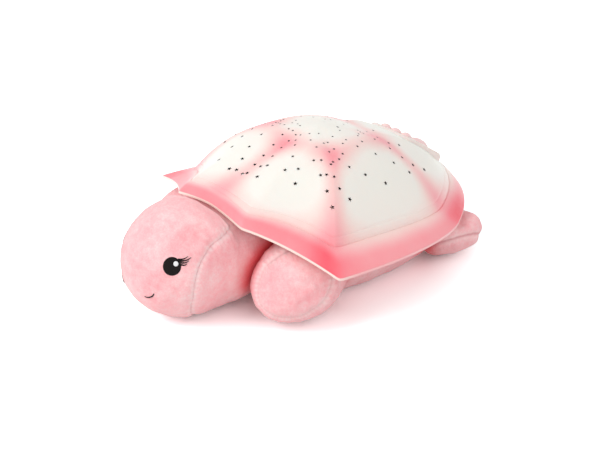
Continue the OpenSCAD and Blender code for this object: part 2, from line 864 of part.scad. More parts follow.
// Outline of the body at a share h of its height
function body_swell(h) = body_foot + (1 - body_foot) * pow(sin(min(h / 0.6, 1) * 90), 0.7)
    - 0.06 * pow(max(h - 0.6, 0) / 0.4, 2);
module body_slice(h, grow) {
    k = body_swell(h);
    translate([0, body_mid_y, h * body_z]) linear_extrude(0.01)
        polygon([for (i = [0:body_sides - 1])
            let (a = 360 * i / body_sides)
            [
                (k * body_x + grow) * sign(cos(a)) * pow(abs(cos(a)), 0.8),
                (k * body_y - (1 - k) * 10 + grow) * sign(sin(a)) * pow(abs(sin(a)), 0.8)
            ]]);
}

module body_form(grow) {
    for (i = [0:body_slices - 1]) hull() {
        body_slice(i / body_slices, grow);
        body_slice((i + 1) / body_slices, grow);
    }
}

strip_t = 1;
flap_z = 0.3;
flap_top = flap_z + flap_t - 2 * strip_t - fit;
hook_top = flap_top + strip_t;
loop_foot = hook_top + fit;
rebate_top = loop_foot + strip_t + fit;
margin = 9;            // width of the ledge that the strips lie on
flap_corner = 10;

module plush_body() {
    color("lightpink") difference() {
        body_form(0);
        at_tray() translate([0, 0, tray_z - seam_gap]) linear_extrude(body_z) tray_outline(seam_gap);
        translate([0, box_mid_y, 0]) {
            slab(flap_w, flap_l, flap_corner, -over, rebate_top);
            slab(flap_w - 2 * margin, flap_l - 2 * margin, flap_corner - 4, -over, tray_z);
        }
    }
}

module belly_flap() {
    color("lightpink") translate([0, box_mid_y, 0])
        slab(flap_w - 2 * 0.6, flap_l - 2 * 0.6, flap_corner, flap_z, flap_top);
}

module strips(z) {
    translate([0, box_mid_y, z]) linear_extrude(strip_t) difference() {
        rounded_rect(flap_w - 4, flap_l - 4, flap_corner - 2);
        rounded_rect(flap_w - 2 * margin, flap_l - 2 * margin, flap_corner - 4);
        translate([-flap_w / 2, flap_l / 2 - 12]) square([flap_w, 12]);
    }
}

module hook_strip() { color("white") strips(flap_top); }
module loop_strip() { color("pink") strips(loop_foot); }

limb_sides = 20;
limb_rings = 11;
rest_gap = 0.2;
// Each limb: its root inside the body, then its bend and tip measured from there
front_root = [body_x - 22, body_mid_y - body_y / 2, body_z - 9];
front_bend = [2, -24, 6];
front_reach = [15, -77, -11];
front_w = 36;
front_h = 33;
rear_root = [body_x - 26, body_mid_y + 46, body_z - 13];
rear_bend = [8, 18, 1];
rear_reach = [24, 63, -12];
rear_w = 27;
rear_h = 25;
tail_root = [0, rear_y - 55, 24];
tail_bend = [0, 20, 2];
tail_reach = [0, 55, -10];
tail_w = 17;
tail_h = 13;

// A stuffed limb along the curve from root through bent to tip. It is narrow at
// the root, widest at the share full of its length and round at its tip.
function limb_size(s, full, neck) =
    s < full ? mix(neck, 1, pow(sin(90 * s / full), 1.2))
    : sqrt(max(1 - pow((s - full) / (1 - full), 2), 0));
module limb(root, bent, tip, wide, thick, full, neck) {
    rings = [for (k = [0:limb_rings - 1])
        let (
            s = sin(90 * k / limb_rings),
            c = bend(root, bent, tip, 1, s),
            d = unit(bend(root, bent, tip, 1, min(s + 0.05, 1)) - bend(root, bent, tip, 1, s - 0.05)),
            side = unit(cross([0, 0, 1], d)),
            up = cross(d, side),
            size = limb_size(s, full, neck)
        )
        [for (i = [0:limb_sides - 1])
            let (
                a = -360 * i / limb_sides,
                p = c + size * (wide * cos(a) * side + thick * sin(a) * up)
            )
            [p.x, p.y, max(p.z, rest_gap)]]];
    rings_solid([root.x, root.y, root.z], rings, tip);
}

// Everything that a limb has to leave free: the body, the casing and the shell
module hard_space() {
    body_form(seam_gap);
    at_tray() linear_extrude(dome_z) tray_outline(seam_gap);
    above_shell();
}

module left_front_limb() {
    limb(front_root, front_root + front_bend, front_root + front_reach, front_w, front_h, 0.55, 0.75);
}

module left_rear_limb() {
    limb(rear_root, rear_root + rear_bend, rear_root + rear_reach, rear_w, rear_h, 0.55, 0.75);
}

module front_flipper_left() {
    color("lightpink") difference() {
        left_front_limb();
        hard_space();
        head_form(seam_gap);
    }
}
module rear_flipper_left() {
    color("lightpink") difference() {
        left_rear_limb();
        hard_space();
    }
}
module front_flipper_right() { mirror([1, 0, 0]) front_flipper_left(); }
module rear_flipper_right() { mirror([1, 0, 0]) rear_flipper_left(); }

module tail() {
    color("lightpink") difference() {
        limb(tail_root, tail_root + tail_bend, tail_root + tail_reach, tail_w, tail_h, 0.3, 1);
        hard_space();
    }
}

// Head: an egg in front that runs on as a thick neck, whose top dips under the
// shell's neck arch. A curved seam down each side parts the head from the neck.
neck_end = body_mid_y - body_y + 26;    // where the neck ends inside the body
neck_taper = 0.12;
neck_dip = 0.17;
neck_dip_l = 26;
neck_full = 0.68;      // below 1 the neck's top is squarer than an ellipse
seam_back = 26;        // from the head's middle back to the ends of the seam
seam_reach = 47.5;       // how far the seam's curve reaches forward
seam_z = 40;
seam_half = 41;
seam_steps = 16;
head_sides = 32;
head_front = 12;
head_rear = 7;

function head_wide(y) =
    y < head_mid_y ? sqrt(max(1 - pow((y - head_mid_y) / head_y, 2), 0))
    : 1 - neck_taper * pow((y - head_mid_y) / (neck_end - head_mid_y), 2);
function head_tall(y) =
    y < head_mid_y ? head_wide(y)
    : 1 - neck_dip * (1 - cos(90 * min((y - head_mid_y) / neck_dip_l, 1)));
function head_middle(y) =
    y < head_mid_y ? head_mid_z : head_mid_z - head_z * (1 - head_tall(y));
function puffed(v, power) = sign(v) * pow(abs(v), power);
function head_ring(y, grow) =
    let (full = mix(1, neck_full, min(max((y - head_mid_y) / neck_dip_l, 0), 1)))
    [for (i = [0:head_sides - 1])
        let (a = -360 * i / head_sides, power = sin(a) > 0 ? full : 1)
        [
            (head_wide(y) * head_x + grow) * puffed(cos(a), power),
            y,
            max(head_middle(y) + (head_tall(y) * head_z + grow) * puffed(sin(a), power), rest_gap)
        ]];
function head_y_at(k) =
    k >= 0 ? mix(head_mid_y, neck_end, k / head_rear)
    : head_mid_y - head_y * sin(90 * -k / head_front);

module head_form(grow) {
    rings_solid(
        [0, neck_end, head_middle(neck_end)],
        [for (k = [head_rear:-1:1 - head_front]) head_ring(head_y_at(k), grow)],
        [0, head_mid_y - head_y - grow, head_mid_z]
    );
}

// Everything behind the seam
function seam_y(z) =
    head_mid_y + seam_back
    - seam_reach * pow(max(1 - pow(abs(z - seam_z) / seam_half, 2.5), 0), 0.4);
module behind_seam(shift) {
    rotate([90, 0, 90]) translate([0, 0, -2 * head_x]) linear_extrude(4 * head_x) polygon(concat(
        [for (k = [-seam_steps:seam_steps])
            let (z = seam_z + seam_half * sin(90 * k / seam_steps))
            [seam_y(z) + shift, z]],
        [[seam_y(3 * head_z) + shift, 3 * head_z], [dome_y, 3 * head_z]],
        [[dome_y, -head_z], [seam_y(-head_z) + shift, -head_z]]
    ));
}

module head() {
    color("lightpink") difference() {
        head_form(0);
        behind_seam(0);
        hard_space();
    }
}

module neck() {
    color("lightpink") difference() {
        intersection() {
            head_form(0);
            behind_seam(seam_gap);
        }
        hard_space();
    }
}

eye_turn = 43;         // turn of the eye from straight ahead
eye_lift = 19;         // how far above the head's middle it looks
eye_t = 0.8;

// Point of the egg in the direction that the eye looks
function eye_way() = [sin(eye_turn) * cos(eye_lift), -cos(eye_turn) * cos(eye_lift), sin(eye_lift)];
function eye_place() =
    let (v = eye_way(), k = norm([v.x / head_x, v.y / head_y, v.z / head_z]))
    [0, head_mid_y, head_mid_z] + v / k;
function eye_normal() =
    let (p = eye_place() - [0, head_mid_y, head_mid_z])
    unit([p.x / pow(head_x, 2), p.y / pow(head_y, 2), p.z / pow(head_z, 2)]);

// An embroidered disc, bowed to the head's curve
module eye_left() {
    color("black") aimed(eye_place(), eye_normal()) translate([0, 0, seam_gap - head_x])
        rotate_extrude() intersection() {
            difference() {
                circle(head_x + eye_t, $fn = 200);
                circle(head_x, $fn = 200);
            }
            translate([0, head_x / 2]) square([eye_d / 2, head_x]);
        }
}
module eye_right() { mirror([1, 0, 0]) eye_left(); }

shell();
control_pad();
power_button();
left_button();
middle_button();
right_button();
button_board();
button_switches();
casing_tray();
battery_door();
door_screw();
battery_cells();
battery_contacts();
main_board();
board_parts();
lamp_post();
lamp_board();
leds();
shell_screws();
pad_screws();
board_screws();
lamp_screws();
button_cable();
lamp_cable();
battery_leads();
plush_body();
belly_flap();
hook_strip();
loop_strip();
head();
neck();
front_flipper_left();
front_flipper_right();
rear_flipper_left();
rear_flipper_right();
tail();
eye_left();
eye_right();
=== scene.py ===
# Looks of the turtle night light. Blender works in metres, in the frame of the
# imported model; shapes are written in millimetres and scaled by MM.
import math

import bpy
import bmesh
import numpy as np
from mathutils import Matrix, Vector
from mathutils.bvhtree import BVHTree
from mathutils.kdtree import KDTree


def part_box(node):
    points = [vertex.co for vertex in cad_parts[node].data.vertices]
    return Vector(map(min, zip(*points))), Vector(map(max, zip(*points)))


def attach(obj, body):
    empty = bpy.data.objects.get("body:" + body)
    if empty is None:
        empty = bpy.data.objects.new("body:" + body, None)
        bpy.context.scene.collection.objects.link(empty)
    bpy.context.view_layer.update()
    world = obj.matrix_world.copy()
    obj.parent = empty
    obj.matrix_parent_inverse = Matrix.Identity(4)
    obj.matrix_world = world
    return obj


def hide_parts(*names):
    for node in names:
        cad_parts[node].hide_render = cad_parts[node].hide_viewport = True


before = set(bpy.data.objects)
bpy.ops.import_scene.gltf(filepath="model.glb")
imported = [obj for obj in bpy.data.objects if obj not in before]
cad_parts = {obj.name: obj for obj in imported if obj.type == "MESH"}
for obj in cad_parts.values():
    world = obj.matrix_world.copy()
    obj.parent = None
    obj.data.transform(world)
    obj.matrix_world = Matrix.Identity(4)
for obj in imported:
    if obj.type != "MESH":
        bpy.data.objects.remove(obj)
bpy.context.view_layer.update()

MM = 0.001
ROOT = "turtle"

# ---- sizes repeated from the part's source, in mm ----

# Two numbers name a place on the shell. t runs round it: 0 over the neck, 1 at the left
# shoulder, 2 at the left haunch, 2.5 at the rear, and on along the right half to TURN.
# level runs outwards: 0 at the top, 1 at the hubs, 2 at the dome's foot, 3 at the rim.
TURN = 5
SHOULDER = np.array([120.5, -59, 59.0])
HAUNCH = np.array([94, 102, 45.0])
NECK = np.array([42.5, -95, 85.0])
REAR = np.array([0, 175, 40.0])
ARCH = 4.5
EDGE_T = 2.6
WALL = 2.2
DOME_Y, DOME_Z = 21.0, 126.0
FRONT_HUB = np.array([0, -15, 118.0])
SIDE_HUB = np.array([44, 0, 119.0])
REAR_HUB = np.array([30, 68, 110.0])
HUB_ARCH, REAR_ARCH = 5.0, 1.5
NECK_T = 0.38
NECK_PULL = np.array([NECK[0] + 0.38 * (SHOULDER[0] - NECK[0]), NECK[1] + 23,
                      NECK[2] + 0.36 * (SHOULDER[2] - NECK[2])])
SIDE_PULL = np.array([SHOULDER[0] + 4, SHOULDER[1] + 0.71 * (HAUNCH[1] - SHOULDER[1]),
                      SHOULDER[2] + 0.65 * (HAUNCH[2] - SHOULDER[2])])
REAR_PULL = np.array([0.54 * HAUNCH[0], REAR[1] - 7, REAR[2]])
RING_T = [0, NECK_T, 1, 2, 2.5]
BRIM_W = [8, 10, 30, 16, 12]
BRIM_H = [8, 8, 11, 11, 15]
STRAIGHT_T = [0, 1, 2, 2.25, 2.5]
STRAIGHT = [0.9, 0.45, 0.6, 0.3, 0.5]
BLEND = (0.015, 0.04, 0.06)
CROWN, TOP_CURVE, SIDE_CURVE = 0.32, 1.6, 2.4
STAR_COUNT = 136
STAR_R = (1.1, 2.2)
STAR_LEVELS = (0.3, 1.7)
STAR_INNER = 0.45

PAD_Y, PAD_Z, PAD_TILT, PAD_CURVE = 129.5, 84.0, math.radians(35), 203.0
PAD_W, PAD_L, PAD_R, PAD_SKIRT, PAD_PLATE, PAD_GAP = 50.0, 64.0, 12.0, 14.0, 2.5, 0.3
RAIL_Y, POWER_Y, PITCH = -18.0, 18.0, 13.0
BUTTON_D, POWER_D = 10.0, 19.0
TRAY_X, TRAY_Y, TRAY_R = 70.0, 92.0, 46.0
BODY_Y = 32.0

# ---- small helpers ----


def bend(p, q, r, s):
    s = s[:, None]
    return (1 - s) ** 2 * p + 2 * s * (1 - s) * q + s ** 2 * r


def added(name, data):
    """A new object in the scene."""
    obj = bpy.data.objects.new(name, data)
    bpy.context.collection.objects.link(obj)
    return obj


def mesh_object(name, points, faces, smooth=True):
    """A mesh object from points in mm, with its faces turned outwards."""
    mesh = bpy.data.meshes.new(name)
    mesh.from_pydata([tuple(p) for p in np.asarray(points) * MM], [], [tuple(f) for f in faces])
    mesh.validate()
    mesh.polygons.foreach_set("use_smooth", [smooth] * len(mesh.polygons))
    bm = bmesh.new()
    bm.from_mesh(mesh)
    bmesh.ops.recalc_face_normals(bm, faces=bm.faces)
    bm.to_mesh(mesh)
    bm.free()
    return added(name, mesh)


def vectors_of(obj, kind):
    out = np.empty(len(obj.data.vertices) * 3)
    obj.data.vertices.foreach_get(kind, out)
    return out.reshape(-1, 3)


def co_of(obj):
    return vectors_of(obj, "co") / MM


def set_co(obj, co):
    obj.data.vertices.foreach_set("co", (np.asarray(co) * MM).ravel())
    obj.data.update()


def push_out(obj, amount):
    """Moves each vertex along its normal by its own amount in mm."""
    set_co(obj, co_of(obj) + amount[:, None] * vectors_of(obj, "normal"))


def apply_modifiers(obj):
    """Bakes the object's modifiers into its mesh."""
    deps = bpy.context.evaluated_depsgraph_get()
    mesh = bpy.data.meshes.new_from_object(obj.evaluated_get(deps), depsgraph=deps)
    old = obj.data
    obj.modifiers.clear()
    obj.data = mesh
    bpy.data.meshes.remove(old)
    return obj


def smoothed(obj, rounds):
    s = obj.modifiers.new("smooth", "SMOOTH")
    s.factor = 0.5
    s.iterations = rounds
    return apply_modifiers(obj)


def remeshed(obj, voxel, rounds):
    """Even quads over the closed shape of obj, then smoothed."""
    m = obj.modifiers.new("remesh", "REMESH")
    m.mode = "VOXEL"
    m.voxel_size = voxel * MM
    m.use_smooth_shade = True
    return smoothed(obj, rounds)


def cut(obj, cutter, operation="DIFFERENCE"):
    """Boolean of two closed meshes, which uses up the cutter."""
    m = obj.modifiers.new("cut", "BOOLEAN")
    m.operation = operation
    m.solver = "MANIFOLD"
    m.object = cutter
    apply_modifiers(obj)
    bpy.data.objects.remove(cutter)


def search_tree(obj):
    bm = bmesh.new()
    bm.from_mesh(obj.data)
    tree = BVHTree.FromBMesh(bm)
    bm.free()
    return tree


def ring_faces(rings, n, closed_start=None, closed_end=None):
    """Quads between successive rings of n points; optional pole indices."""
    faces = []
    for k in range(rings - 1):
        for i in range(n):
            j = (i + 1) % n
            faces.append((k * n + i, k * n + j, (k + 1) * n + j, (k + 1) * n + i))
    if closed_start is not None:
        faces += [(closed_start, (i + 1) % n, i) for i in range(n)]
    if closed_end is not None:
        base = (rings - 1) * n
        faces += [(closed_end, base + i, base + (i + 1) % n) for i in range(n)]
    return faces


def tube_faces(rings, n):
    """Faces of a tube through rings of n points, with a flat lid at both ends."""
    last = (rings - 1) * n
    return ring_faces(rings, n) + [tuple(range(n - 1, -1, -1)), tuple(range(last, last + n))]


def smooth_by_angle(obj, degrees):
    """Smooth shading, with hard edges above the angle."""
    bm = bmesh.new()
    bm.from_mesh(obj.data)
    limit = math.radians(degrees)
    for e in bm.edges:
        e.smooth = len(e.link_faces) == 2 and e.calc_face_angle(0) < limit
    for f in bm.faces:
        f.smooth = True
    bm.to_mesh(obj.data)
    bm.free()
    return obj


def dress(obj, look):
    """Gives a whole piece one material."""
    obj.data.materials.clear()
    obj.data.materials.append(MAT[look])


def place(obj, body, slot, *nodes):
    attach(obj, body)
    if nodes:
        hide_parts(*nodes)


def wave_noise(co, scale, seed):
    """Smooth repeatable noise of about -1 to 1 from sums of sines, with waves of about scale mm."""
    octaves, waves, finer, damping = 2, 7, 1.9, 2.6
    r = np.random.default_rng(seed)
    out = np.zeros(len(co))
    for octave in range(octaves):
        for _ in range(waves):
            d = r.normal(size=3)
            d /= np.linalg.norm(d)
            k = 2 * math.pi / (scale / finer ** octave * r.uniform(0.8, 1.3))
            out += np.sin(co @ d * k + r.uniform(0, 6.28)) / (damping * finer ** octave)
    return out


def smooth_step(v):
    v = np.clip(v, 0, 1)
    return v * v * (3 - 2 * v)


# ---- shell skin ----


def on_left(t):
    """The same place on the left half, where t runs from 0 to 2.5."""
    u = np.mod(t, TURN)
    return np.where(u <= TURN / 2, u, TURN - u)


def half_ring(ring, t):
    """The left half of a guiding line: ring 0 is the rim, 1 the dome's foot and 2 the hubs."""
    t = np.clip(t, 0, TURN / 2)
    if ring == 2:
        a, b, c = FRONT_HUB, SIDE_HUB, REAR_HUB
        out = np.empty((len(t), 3))
        for m, p, q, rise, s in (
            (t <= 1, a, b, HUB_ARCH, t),
            ((t > 1) & (t <= 2), b, c, HUB_ARCH, t - 1),
            (t > 2, c, c * [-1, 1, 1], REAR_ARCH, t - 2),
        ):
            s = s[m][:, None]
            out[m] = p + (q - p) * s + np.array([0, 0, rise]) * 4 * s * (1 - s)
        return out
    rim = np.empty((len(t), 3))
    m = t <= NECK_T
    s = (t[m] / NECK_T)[:, None]
    front = np.array([0, NECK[1] + 2, NECK[2]])
    rim[m] = front + (NECK - front) * s + np.array([0, 0, ARCH]) * np.cos(math.pi / 2 * s)
    for start, end, p, q, r in (
        (NECK_T, 1, NECK, NECK_PULL, SHOULDER),
        (1, 2, SHOULDER, SIDE_PULL, HAUNCH),
        (2, TURN / 2, HAUNCH, REAR_PULL, REAR),
    ):
        m = (t > start) & (t <= end)
        rim[m] = bend(p, q, r, (t[m] - start) / (end - start))
    if ring == 0:
        return rim
    d = np.stack([-rim[:, 0], DOME_Y - rim[:, 1]], 1)
    d *= (np.interp(t, RING_T, BRIM_W) / np.linalg.norm(d, axis=1))[:, None]
    return np.column_stack([rim[:, :2] + d, rim[:, 2] + np.interp(t, RING_T, BRIM_H)])


def ring_point(ring, t):
    """Points of a guiding line, with its corners blended."""
    def sharp(u):
        p = half_ring(ring, on_left(u))
        p[:, 0] *= np.where(np.mod(u, TURN) <= TURN / 2, 1, -1)
        return p
    d = BLEND[ring]
    return (sharp(t - d) + 2 * sharp(t) + sharp(t + d)) / 4


def skin(t, level):
    """Points of the shell's outside, as in the part's source."""
    t = np.asarray(t, float)
    level = np.asarray(level, float) * np.ones_like(t)
    rim, foot, hub = (ring_point(k, t) for k in (0, 1, 2))
    straight = np.interp(on_left(t), STRAIGHT_T, STRAIGHT)
    s0 = np.clip(level, 0, 1)
    top = np.column_stack([
        hub[:, 0] * s0, DOME_Y + (hub[:, 1] - DOME_Y) * s0,
        DOME_Z - (DOME_Z - hub[:, 2]) * s0 ** TOP_CURVE])
    s1 = np.clip(level - 1, 0, 1)
    side = hub + (foot - hub) * s1[:, None]
    side[:, 2] = hub[:, 2] - (hub[:, 2] - foot[:, 2]) * (
        straight * s1 + (1 - straight) * s1 ** SIDE_CURVE)
    s2 = np.clip(level - 2, 0, 1)
    brim = foot + (rim - foot) * s2[:, None]
    brim[:, 2] = foot[:, 2] - (foot[:, 2] - rim[:, 2]) * (s2 * (1 - CROWN) + s2 ** 2 * CROWN)
    return np.where((level <= 1)[:, None], top, np.where((level <= 2)[:, None], side, brim))


def skin_normal(t, level):
    step = 0.02
    l = np.maximum(level, 2 * step)
    along = skin(t + step, l) - skin(t - step, l)
    down = skin(t, np.minimum(l + step, 3)) - skin(t, l - step)
    n = np.cross(down, along)
    return n / np.linalg.norm(n, axis=1)[:, None]


def inside(t, level, share=1.0):
    """Points inside the skin, at a share of the wall's thickness."""
    return skin(t, level) - share * WALL * skin_normal(t, level)


# Folds that run round the shell, as (level, width in levels, depth in mm): a crease at the
# dome's foot and a fine line above it
FOLDS = ((2.0, 0.014, 0.75), (1.925, 0.008, 0.5))
# Places of the airbrush's deepest pink on the brim, as (t, width in t, strength)
DEEP_SPOTS = ((0.93, 0.10, 0.26), (2.05, 0.13, 0.34))


def folded(t, level):
    """The skin at one level, with its folds."""
    depth = sum(d * math.exp(-((level - l) / w) ** 2) for l, w, d in FOLDS)
    return skin(t, level) - depth * skin_normal(t, level)


def paint_of(t, level):
    """How pink the airbrushed shell is, 0 to 1, from the place on its skin; towards the rear the
    brim is made paler as a painted wash of backlight.
    """
    here, near = skin(t, level), np.round(t)

    def spray(strength, other, width):
        """Paint that fades over width mm from other points."""
        return strength * np.exp(-(np.linalg.norm(here - other, axis=1) / width) ** 2)
    on_ridge = skin(near, level)
    fade_up = np.clip(level / 0.9, 0, 1) ** 3
    ridge = spray(0.35, on_ridge, 8 + 6 * np.clip(level - 1, 0, 1) ** 2) * fade_up
    hub = spray(0.31, skin(near, 1), 21)
    ring = spray(0.27, skin(t, 1), 11)
    corner = spray(1.0, on_ridge, 26)
    # the brim is pink at its rim and pales towards the dome's foot
    u = on_left(t)
    front = 1 - smooth_step((u - 0.8) / 0.5)
    # rear pales the brim towards the back: painted light, a wash of backlight over its pink
    rear = smooth_step((u - 2.2) / 0.2)
    deep = sum(strength * np.exp(-((u - at) / width) ** 2) for at, width, strength in DEEP_SPOTS)
    at_foot = 0.30 + 0.12 * front + 0.10 * corner + 0.8 * deep - 0.16 * rear
    at_rim = 0.66 + 0.08 * front + deep - 0.28 * rear
    level_mm = 70
    foot_gap = np.clip(2 - level, 0, 2) * level_mm
    foot = 0.8 * at_foot * np.exp(-(foot_gap / (8 + 12 * corner)) ** 1.4)
    dome = 1 - (1 - ridge) * (1 - hub) * (1 - ring) * (1 - foot)
    brim = at_foot + (at_rim - at_foot) * smooth_step((level - 2) / (0.7 - 0.2 * front))
    return np.clip(np.where(level > 2.0, np.maximum(brim, dome), dome), 0, 1)


def star_table():
    """Number, t, level and radius of each star, as in the part's source."""
    golden, level_step, gather = 0.6180340, 0.7548777, 0.62
    pad_half, pad_top = 0.26, 1.1
    (small, large), (high, low) = STAR_R, STAR_LEVELS
    for k in range(STAR_COUNT):
        share = ((k + 0.5) * level_step) % 1
        u = TURN * (((k + 0.5) * golden) % 1)
        s = u % 1
        t = math.floor(u) + s - gather * math.sin(2 * math.pi * s) / (2 * math.pi)
        level = high + (low - high) * share ** 0.7
        if abs(t - TURN / 2) > pad_half or level < pad_top:
            yield k, t, level, small + (large - small) * share ** 1.5


STATIONS = 360
OUT_LEVELS = np.concatenate([
    np.linspace(0, 1, 26)[1:], np.linspace(1, 1.88, 40)[1:],
    np.linspace(1.88, 2.06, 28)[1:], np.linspace(2.06, 3, 16)[1:]])
IN_LEVELS = np.concatenate([
    np.linspace(2.9, 2, 8), np.linspace(2, 1, 22)[1:], np.linspace(1, 0, 12)[1:-1]])


def star_cutters():
    """Tapered star prisms that stick through the shell's wall."""
    corners, star_turn, above, below, taper = 10, 137, 1.0, 2.0, 1.25
    points, faces = [], []
    outline = [(r * math.sin(a), r * math.cos(a)) for a, r in (
        (2 * math.pi * i / corners, STAR_INNER if i % 2 else 1.0) for i in range(corners))]
    for k, t, level, size in star_table():
        t = np.array([t])
        p, v = skin(t, level)[0], -skin_normal(t, level)[0]
        turn = (Matrix.Rotation(math.atan2(v[1], v[0]), 3, "Z")
                @ Matrix.Rotation(math.acos(v[2]), 3, "Y")
                @ Matrix.Rotation(math.radians(star_turn * k), 3, "Z"))
        faces += [tuple(len(points) + i for i in face) for face in tube_faces(2, corners)]
        for z, scale in ((-above, size), (WALL + below, size * taper)):
            points += [np.array(turn @ Vector((x * scale, y * scale, z))) + p for x, y in outline]
    return mesh_object("star_cutters", points, faces, smooth=False)


def on_face(y):
    """Takes points of the frame that touches the pad's curved face at y into the part's frame."""
    a = PAD_TILT + y / PAD_CURVE
    origin = np.array([0, PAD_Y + PAD_CURVE * (math.sin(a) - math.sin(PAD_TILT)),
                       PAD_Z + PAD_CURVE * (math.cos(a) - math.cos(PAD_TILT))])
    axes = np.array([[1, 0, 0], [0, math.cos(a), -math.sin(a)], [0, math.sin(a), math.cos(a)]])
    return lambda points: origin + np.asarray(points, float) @ axes


on_pad = on_face(0)


def curved(loop, z):
    """A loop that follows the pad's curved face, z above it."""
    return np.column_stack([loop, z - PAD_CURVE + np.sqrt(PAD_CURVE ** 2 - loop[:, 1] ** 2)])


def rounded_loop(w, l, r, n=12):
    """Outline of a rounded rectangle, n points a corner."""
    out = []
    for cx, cy, a0 in ((1, 1, 0), (-1, 1, 90), (-1, -1, 180), (1, -1, 270)):
        for i in range(n + 1):
            a = math.radians(a0 + 90 * i / n)
            out.append((cx * (w / 2 - r) + r * math.cos(a), cy * (l / 2 - r) + r * math.sin(a)))
    return np.array(out)


def lofted(name, loops, to_frame=None):
    """Closed solid through loops of equal length, in mm."""
    points = np.vstack(loops)
    if to_frame:
        points = to_frame(points)
    return mesh_object(name, points, tube_faces(len(loops), len(loops[0])))


def flat(loop, z):
    return np.column_stack([loop, np.full(len(loop), z)])


def turned(name, profile, steps, to_frame, centre=(0, 0)):
    """Solid of revolution about Z from (radius, z) pairs that start and end on the axis."""
    angle = 2 * math.pi * np.arange(steps) / steps
    circle = np.column_stack([np.cos(angle), np.sin(angle)])
    rings = [flat(r * circle, z) for r, z in profile[1:-1]]
    poles = [[0, 0, z] for _, z in (profile[0], profile[-1])]
    points = np.vstack(rings + [poles]) + [*centre, 0]
    last = len(points) - 1
    return mesh_object(name, to_frame(points), ring_faces(len(rings), steps, last - 1, last))


def shell_skin_mesh():
    """The skin with its rounded rim and its inside, and how it is painted."""
    t = np.arange(STATIONS) * TURN / STATIONS
    rim_side, inner_side = 4.0, 5.0     # marks for rings that aren't on the outside
    rings = [folded(t, l) for l in OUT_LEVELS]
    marks = list(OUT_LEVELS)
    # the rim's edge is rounded over its thickness
    rim, round_off, drop = rings[-1], 0.35, 0.05
    sideways = rim - skin(t, 2.9)
    sideways /= np.linalg.norm(sideways, axis=1)[:, None]
    rings[-1] = rim - round_off * sideways - [0, 0, drop]
    for share, pull in ((0.14, 0.06), (0.35, 0.0), (0.65, 0.0), (0.86, 0.06), (1.0, round_off)):
        rings.append(rim - pull * sideways - [0, 0, EDGE_T * share])
        marks.append(rim_side)
    for l in IN_LEVELS:
        rings.append(inside(t, l))
        marks.append(rim_side if l > 2.5 else inner_side)
    points = np.vstack(rings + [[[0, DOME_Y, DOME_Z]], [[0, DOME_Y, DOME_Z - WALL]]])
    last = len(points) - 1
    obj = mesh_object("shell_skin", points, ring_faces(len(rings), STATIONS, last - 1, last))
    tt = np.concatenate([np.tile(t, len(rings)), [0.0, 0.0]])
    ll = np.concatenate([np.repeat(marks, STATIONS), [0.0, inner_side]])
    paint = np.where(ll < rim_side, paint_of(tt, np.clip(ll, 0, 3)), 0.5)
    # the bare plastic of the rim's edge shows pale in front
    edge = np.where(ll == rim_side, 1 - smooth_step((on_left(tt) - 0.95) / 0.15), 0.0)
    color = obj.data.color_attributes.new("paint", "FLOAT_COLOR", "CORNER")
    index = np.empty(len(obj.data.loops), int)
    obj.data.loops.foreach_get("vertex_index", index)
    data = np.column_stack([paint, edge, np.zeros(len(paint)), np.ones(len(paint))])[index]
    color.data.foreach_set("color", data.ravel())
    return obj


def build_shell():
    obj, stars = shell_skin_mesh(), star_cutters()
    # the star cutters' faces take the near-black hole material: painted shade on the holes' walls
    # for the dark inside of the shell
    for mesh in (obj.data, stars.data):
        mesh.materials.append(MAT["shell"])
        mesh.materials.append(MAT["hole"])
    stars.data.polygons.foreach_set("material_index", [1] * len(stars.data.polygons))
    cut(obj, stars)
    opening = rounded_loop(PAD_W + 2 * PAD_GAP, PAD_L + 2 * PAD_GAP, PAD_R + PAD_GAP)
    window = lofted("window", [flat(opening, z) for z in (-30, 30)], on_pad)
    dress(window, "shell")
    cut(obj, window)
    smooth_by_angle(obj, 35)
    place(obj, ROOT, "shell_plastic", "shell")
    # the skirt that stands on the casing tray, up to the inside of the skin
    foot_z, wall = 51.3, 0.9
    outer, inner = (rounded_loop(2 * (TRAY_X - w), 2 * (TRAY_Y - w), TRAY_R - w, 16) + [0, BODY_Y]
                    for w in (0, wall))
    points = np.vstack([flat(outer, foot_z), np.column_stack([outer, inside_height(outer)]),
                        np.column_stack([inner, inside_height(inner)]), flat(inner, foot_z)])
    n = len(outer)
    faces = ring_faces(4, n) + [(3 * n + i, 3 * n + (i + 1) % n, (i + 1) % n, i) for i in range(n)]
    skirt = smooth_by_angle(mesh_object("shell_skirt", points, faces), 35)
    dress(skirt, "casing")
    place(skirt, ROOT, "shell_plastic")
    return obj


def inside_height(xy):
    """Height of the middle of the shell's wall over each point."""
    t = np.linspace(0, TURN, 400, endpoint=False)
    cloud = np.vstack([inside(t, l, 0.5) for l in np.linspace(1.0, 2.95, 120)])
    out = np.empty(len(xy))
    for i, p in enumerate(xy):
        d = np.sum((cloud[:, :2] - p) ** 2, axis=1)
        near = np.argpartition(d, 3)[:3]
        out[i] = cloud[near, 2].mean()
    return out


# ---- stuffed pieces ----

HEAD_X, HEAD_Y, HEAD_Z = 46.5, 54.0, 50.0
HEAD_MID = np.array([0, -121, 51.0])
NECK_END, NECK_TAPER, NECK_DIP, NECK_DIP_L, NECK_FULL = -50.0, 0.12, 0.17, 26.0, 0.68
SEAM_BACK, SEAM_REACH, SEAM_Z, SEAM_HALF = -95.0, 47.5, 40.0, 41.0


def seam_line():
    """The seam that parts the face from the neck, from above the head to below it, as (y, z)."""
    roundness, above, below = 2.5, 150, -60
    z = SEAM_Z + SEAM_HALF * np.sin(np.radians(np.linspace(90, -90, 41)))
    share = np.clip(1 - (np.abs(z - SEAM_Z) / SEAM_HALF) ** roundness, 0, 1)
    line = np.column_stack([SEAM_BACK - SEAM_REACH * share ** (1 / roundness), z])
    return np.vstack([[[SEAM_BACK, above]], line, [[SEAM_BACK, below]]])


SEAM_YZ = seam_line()


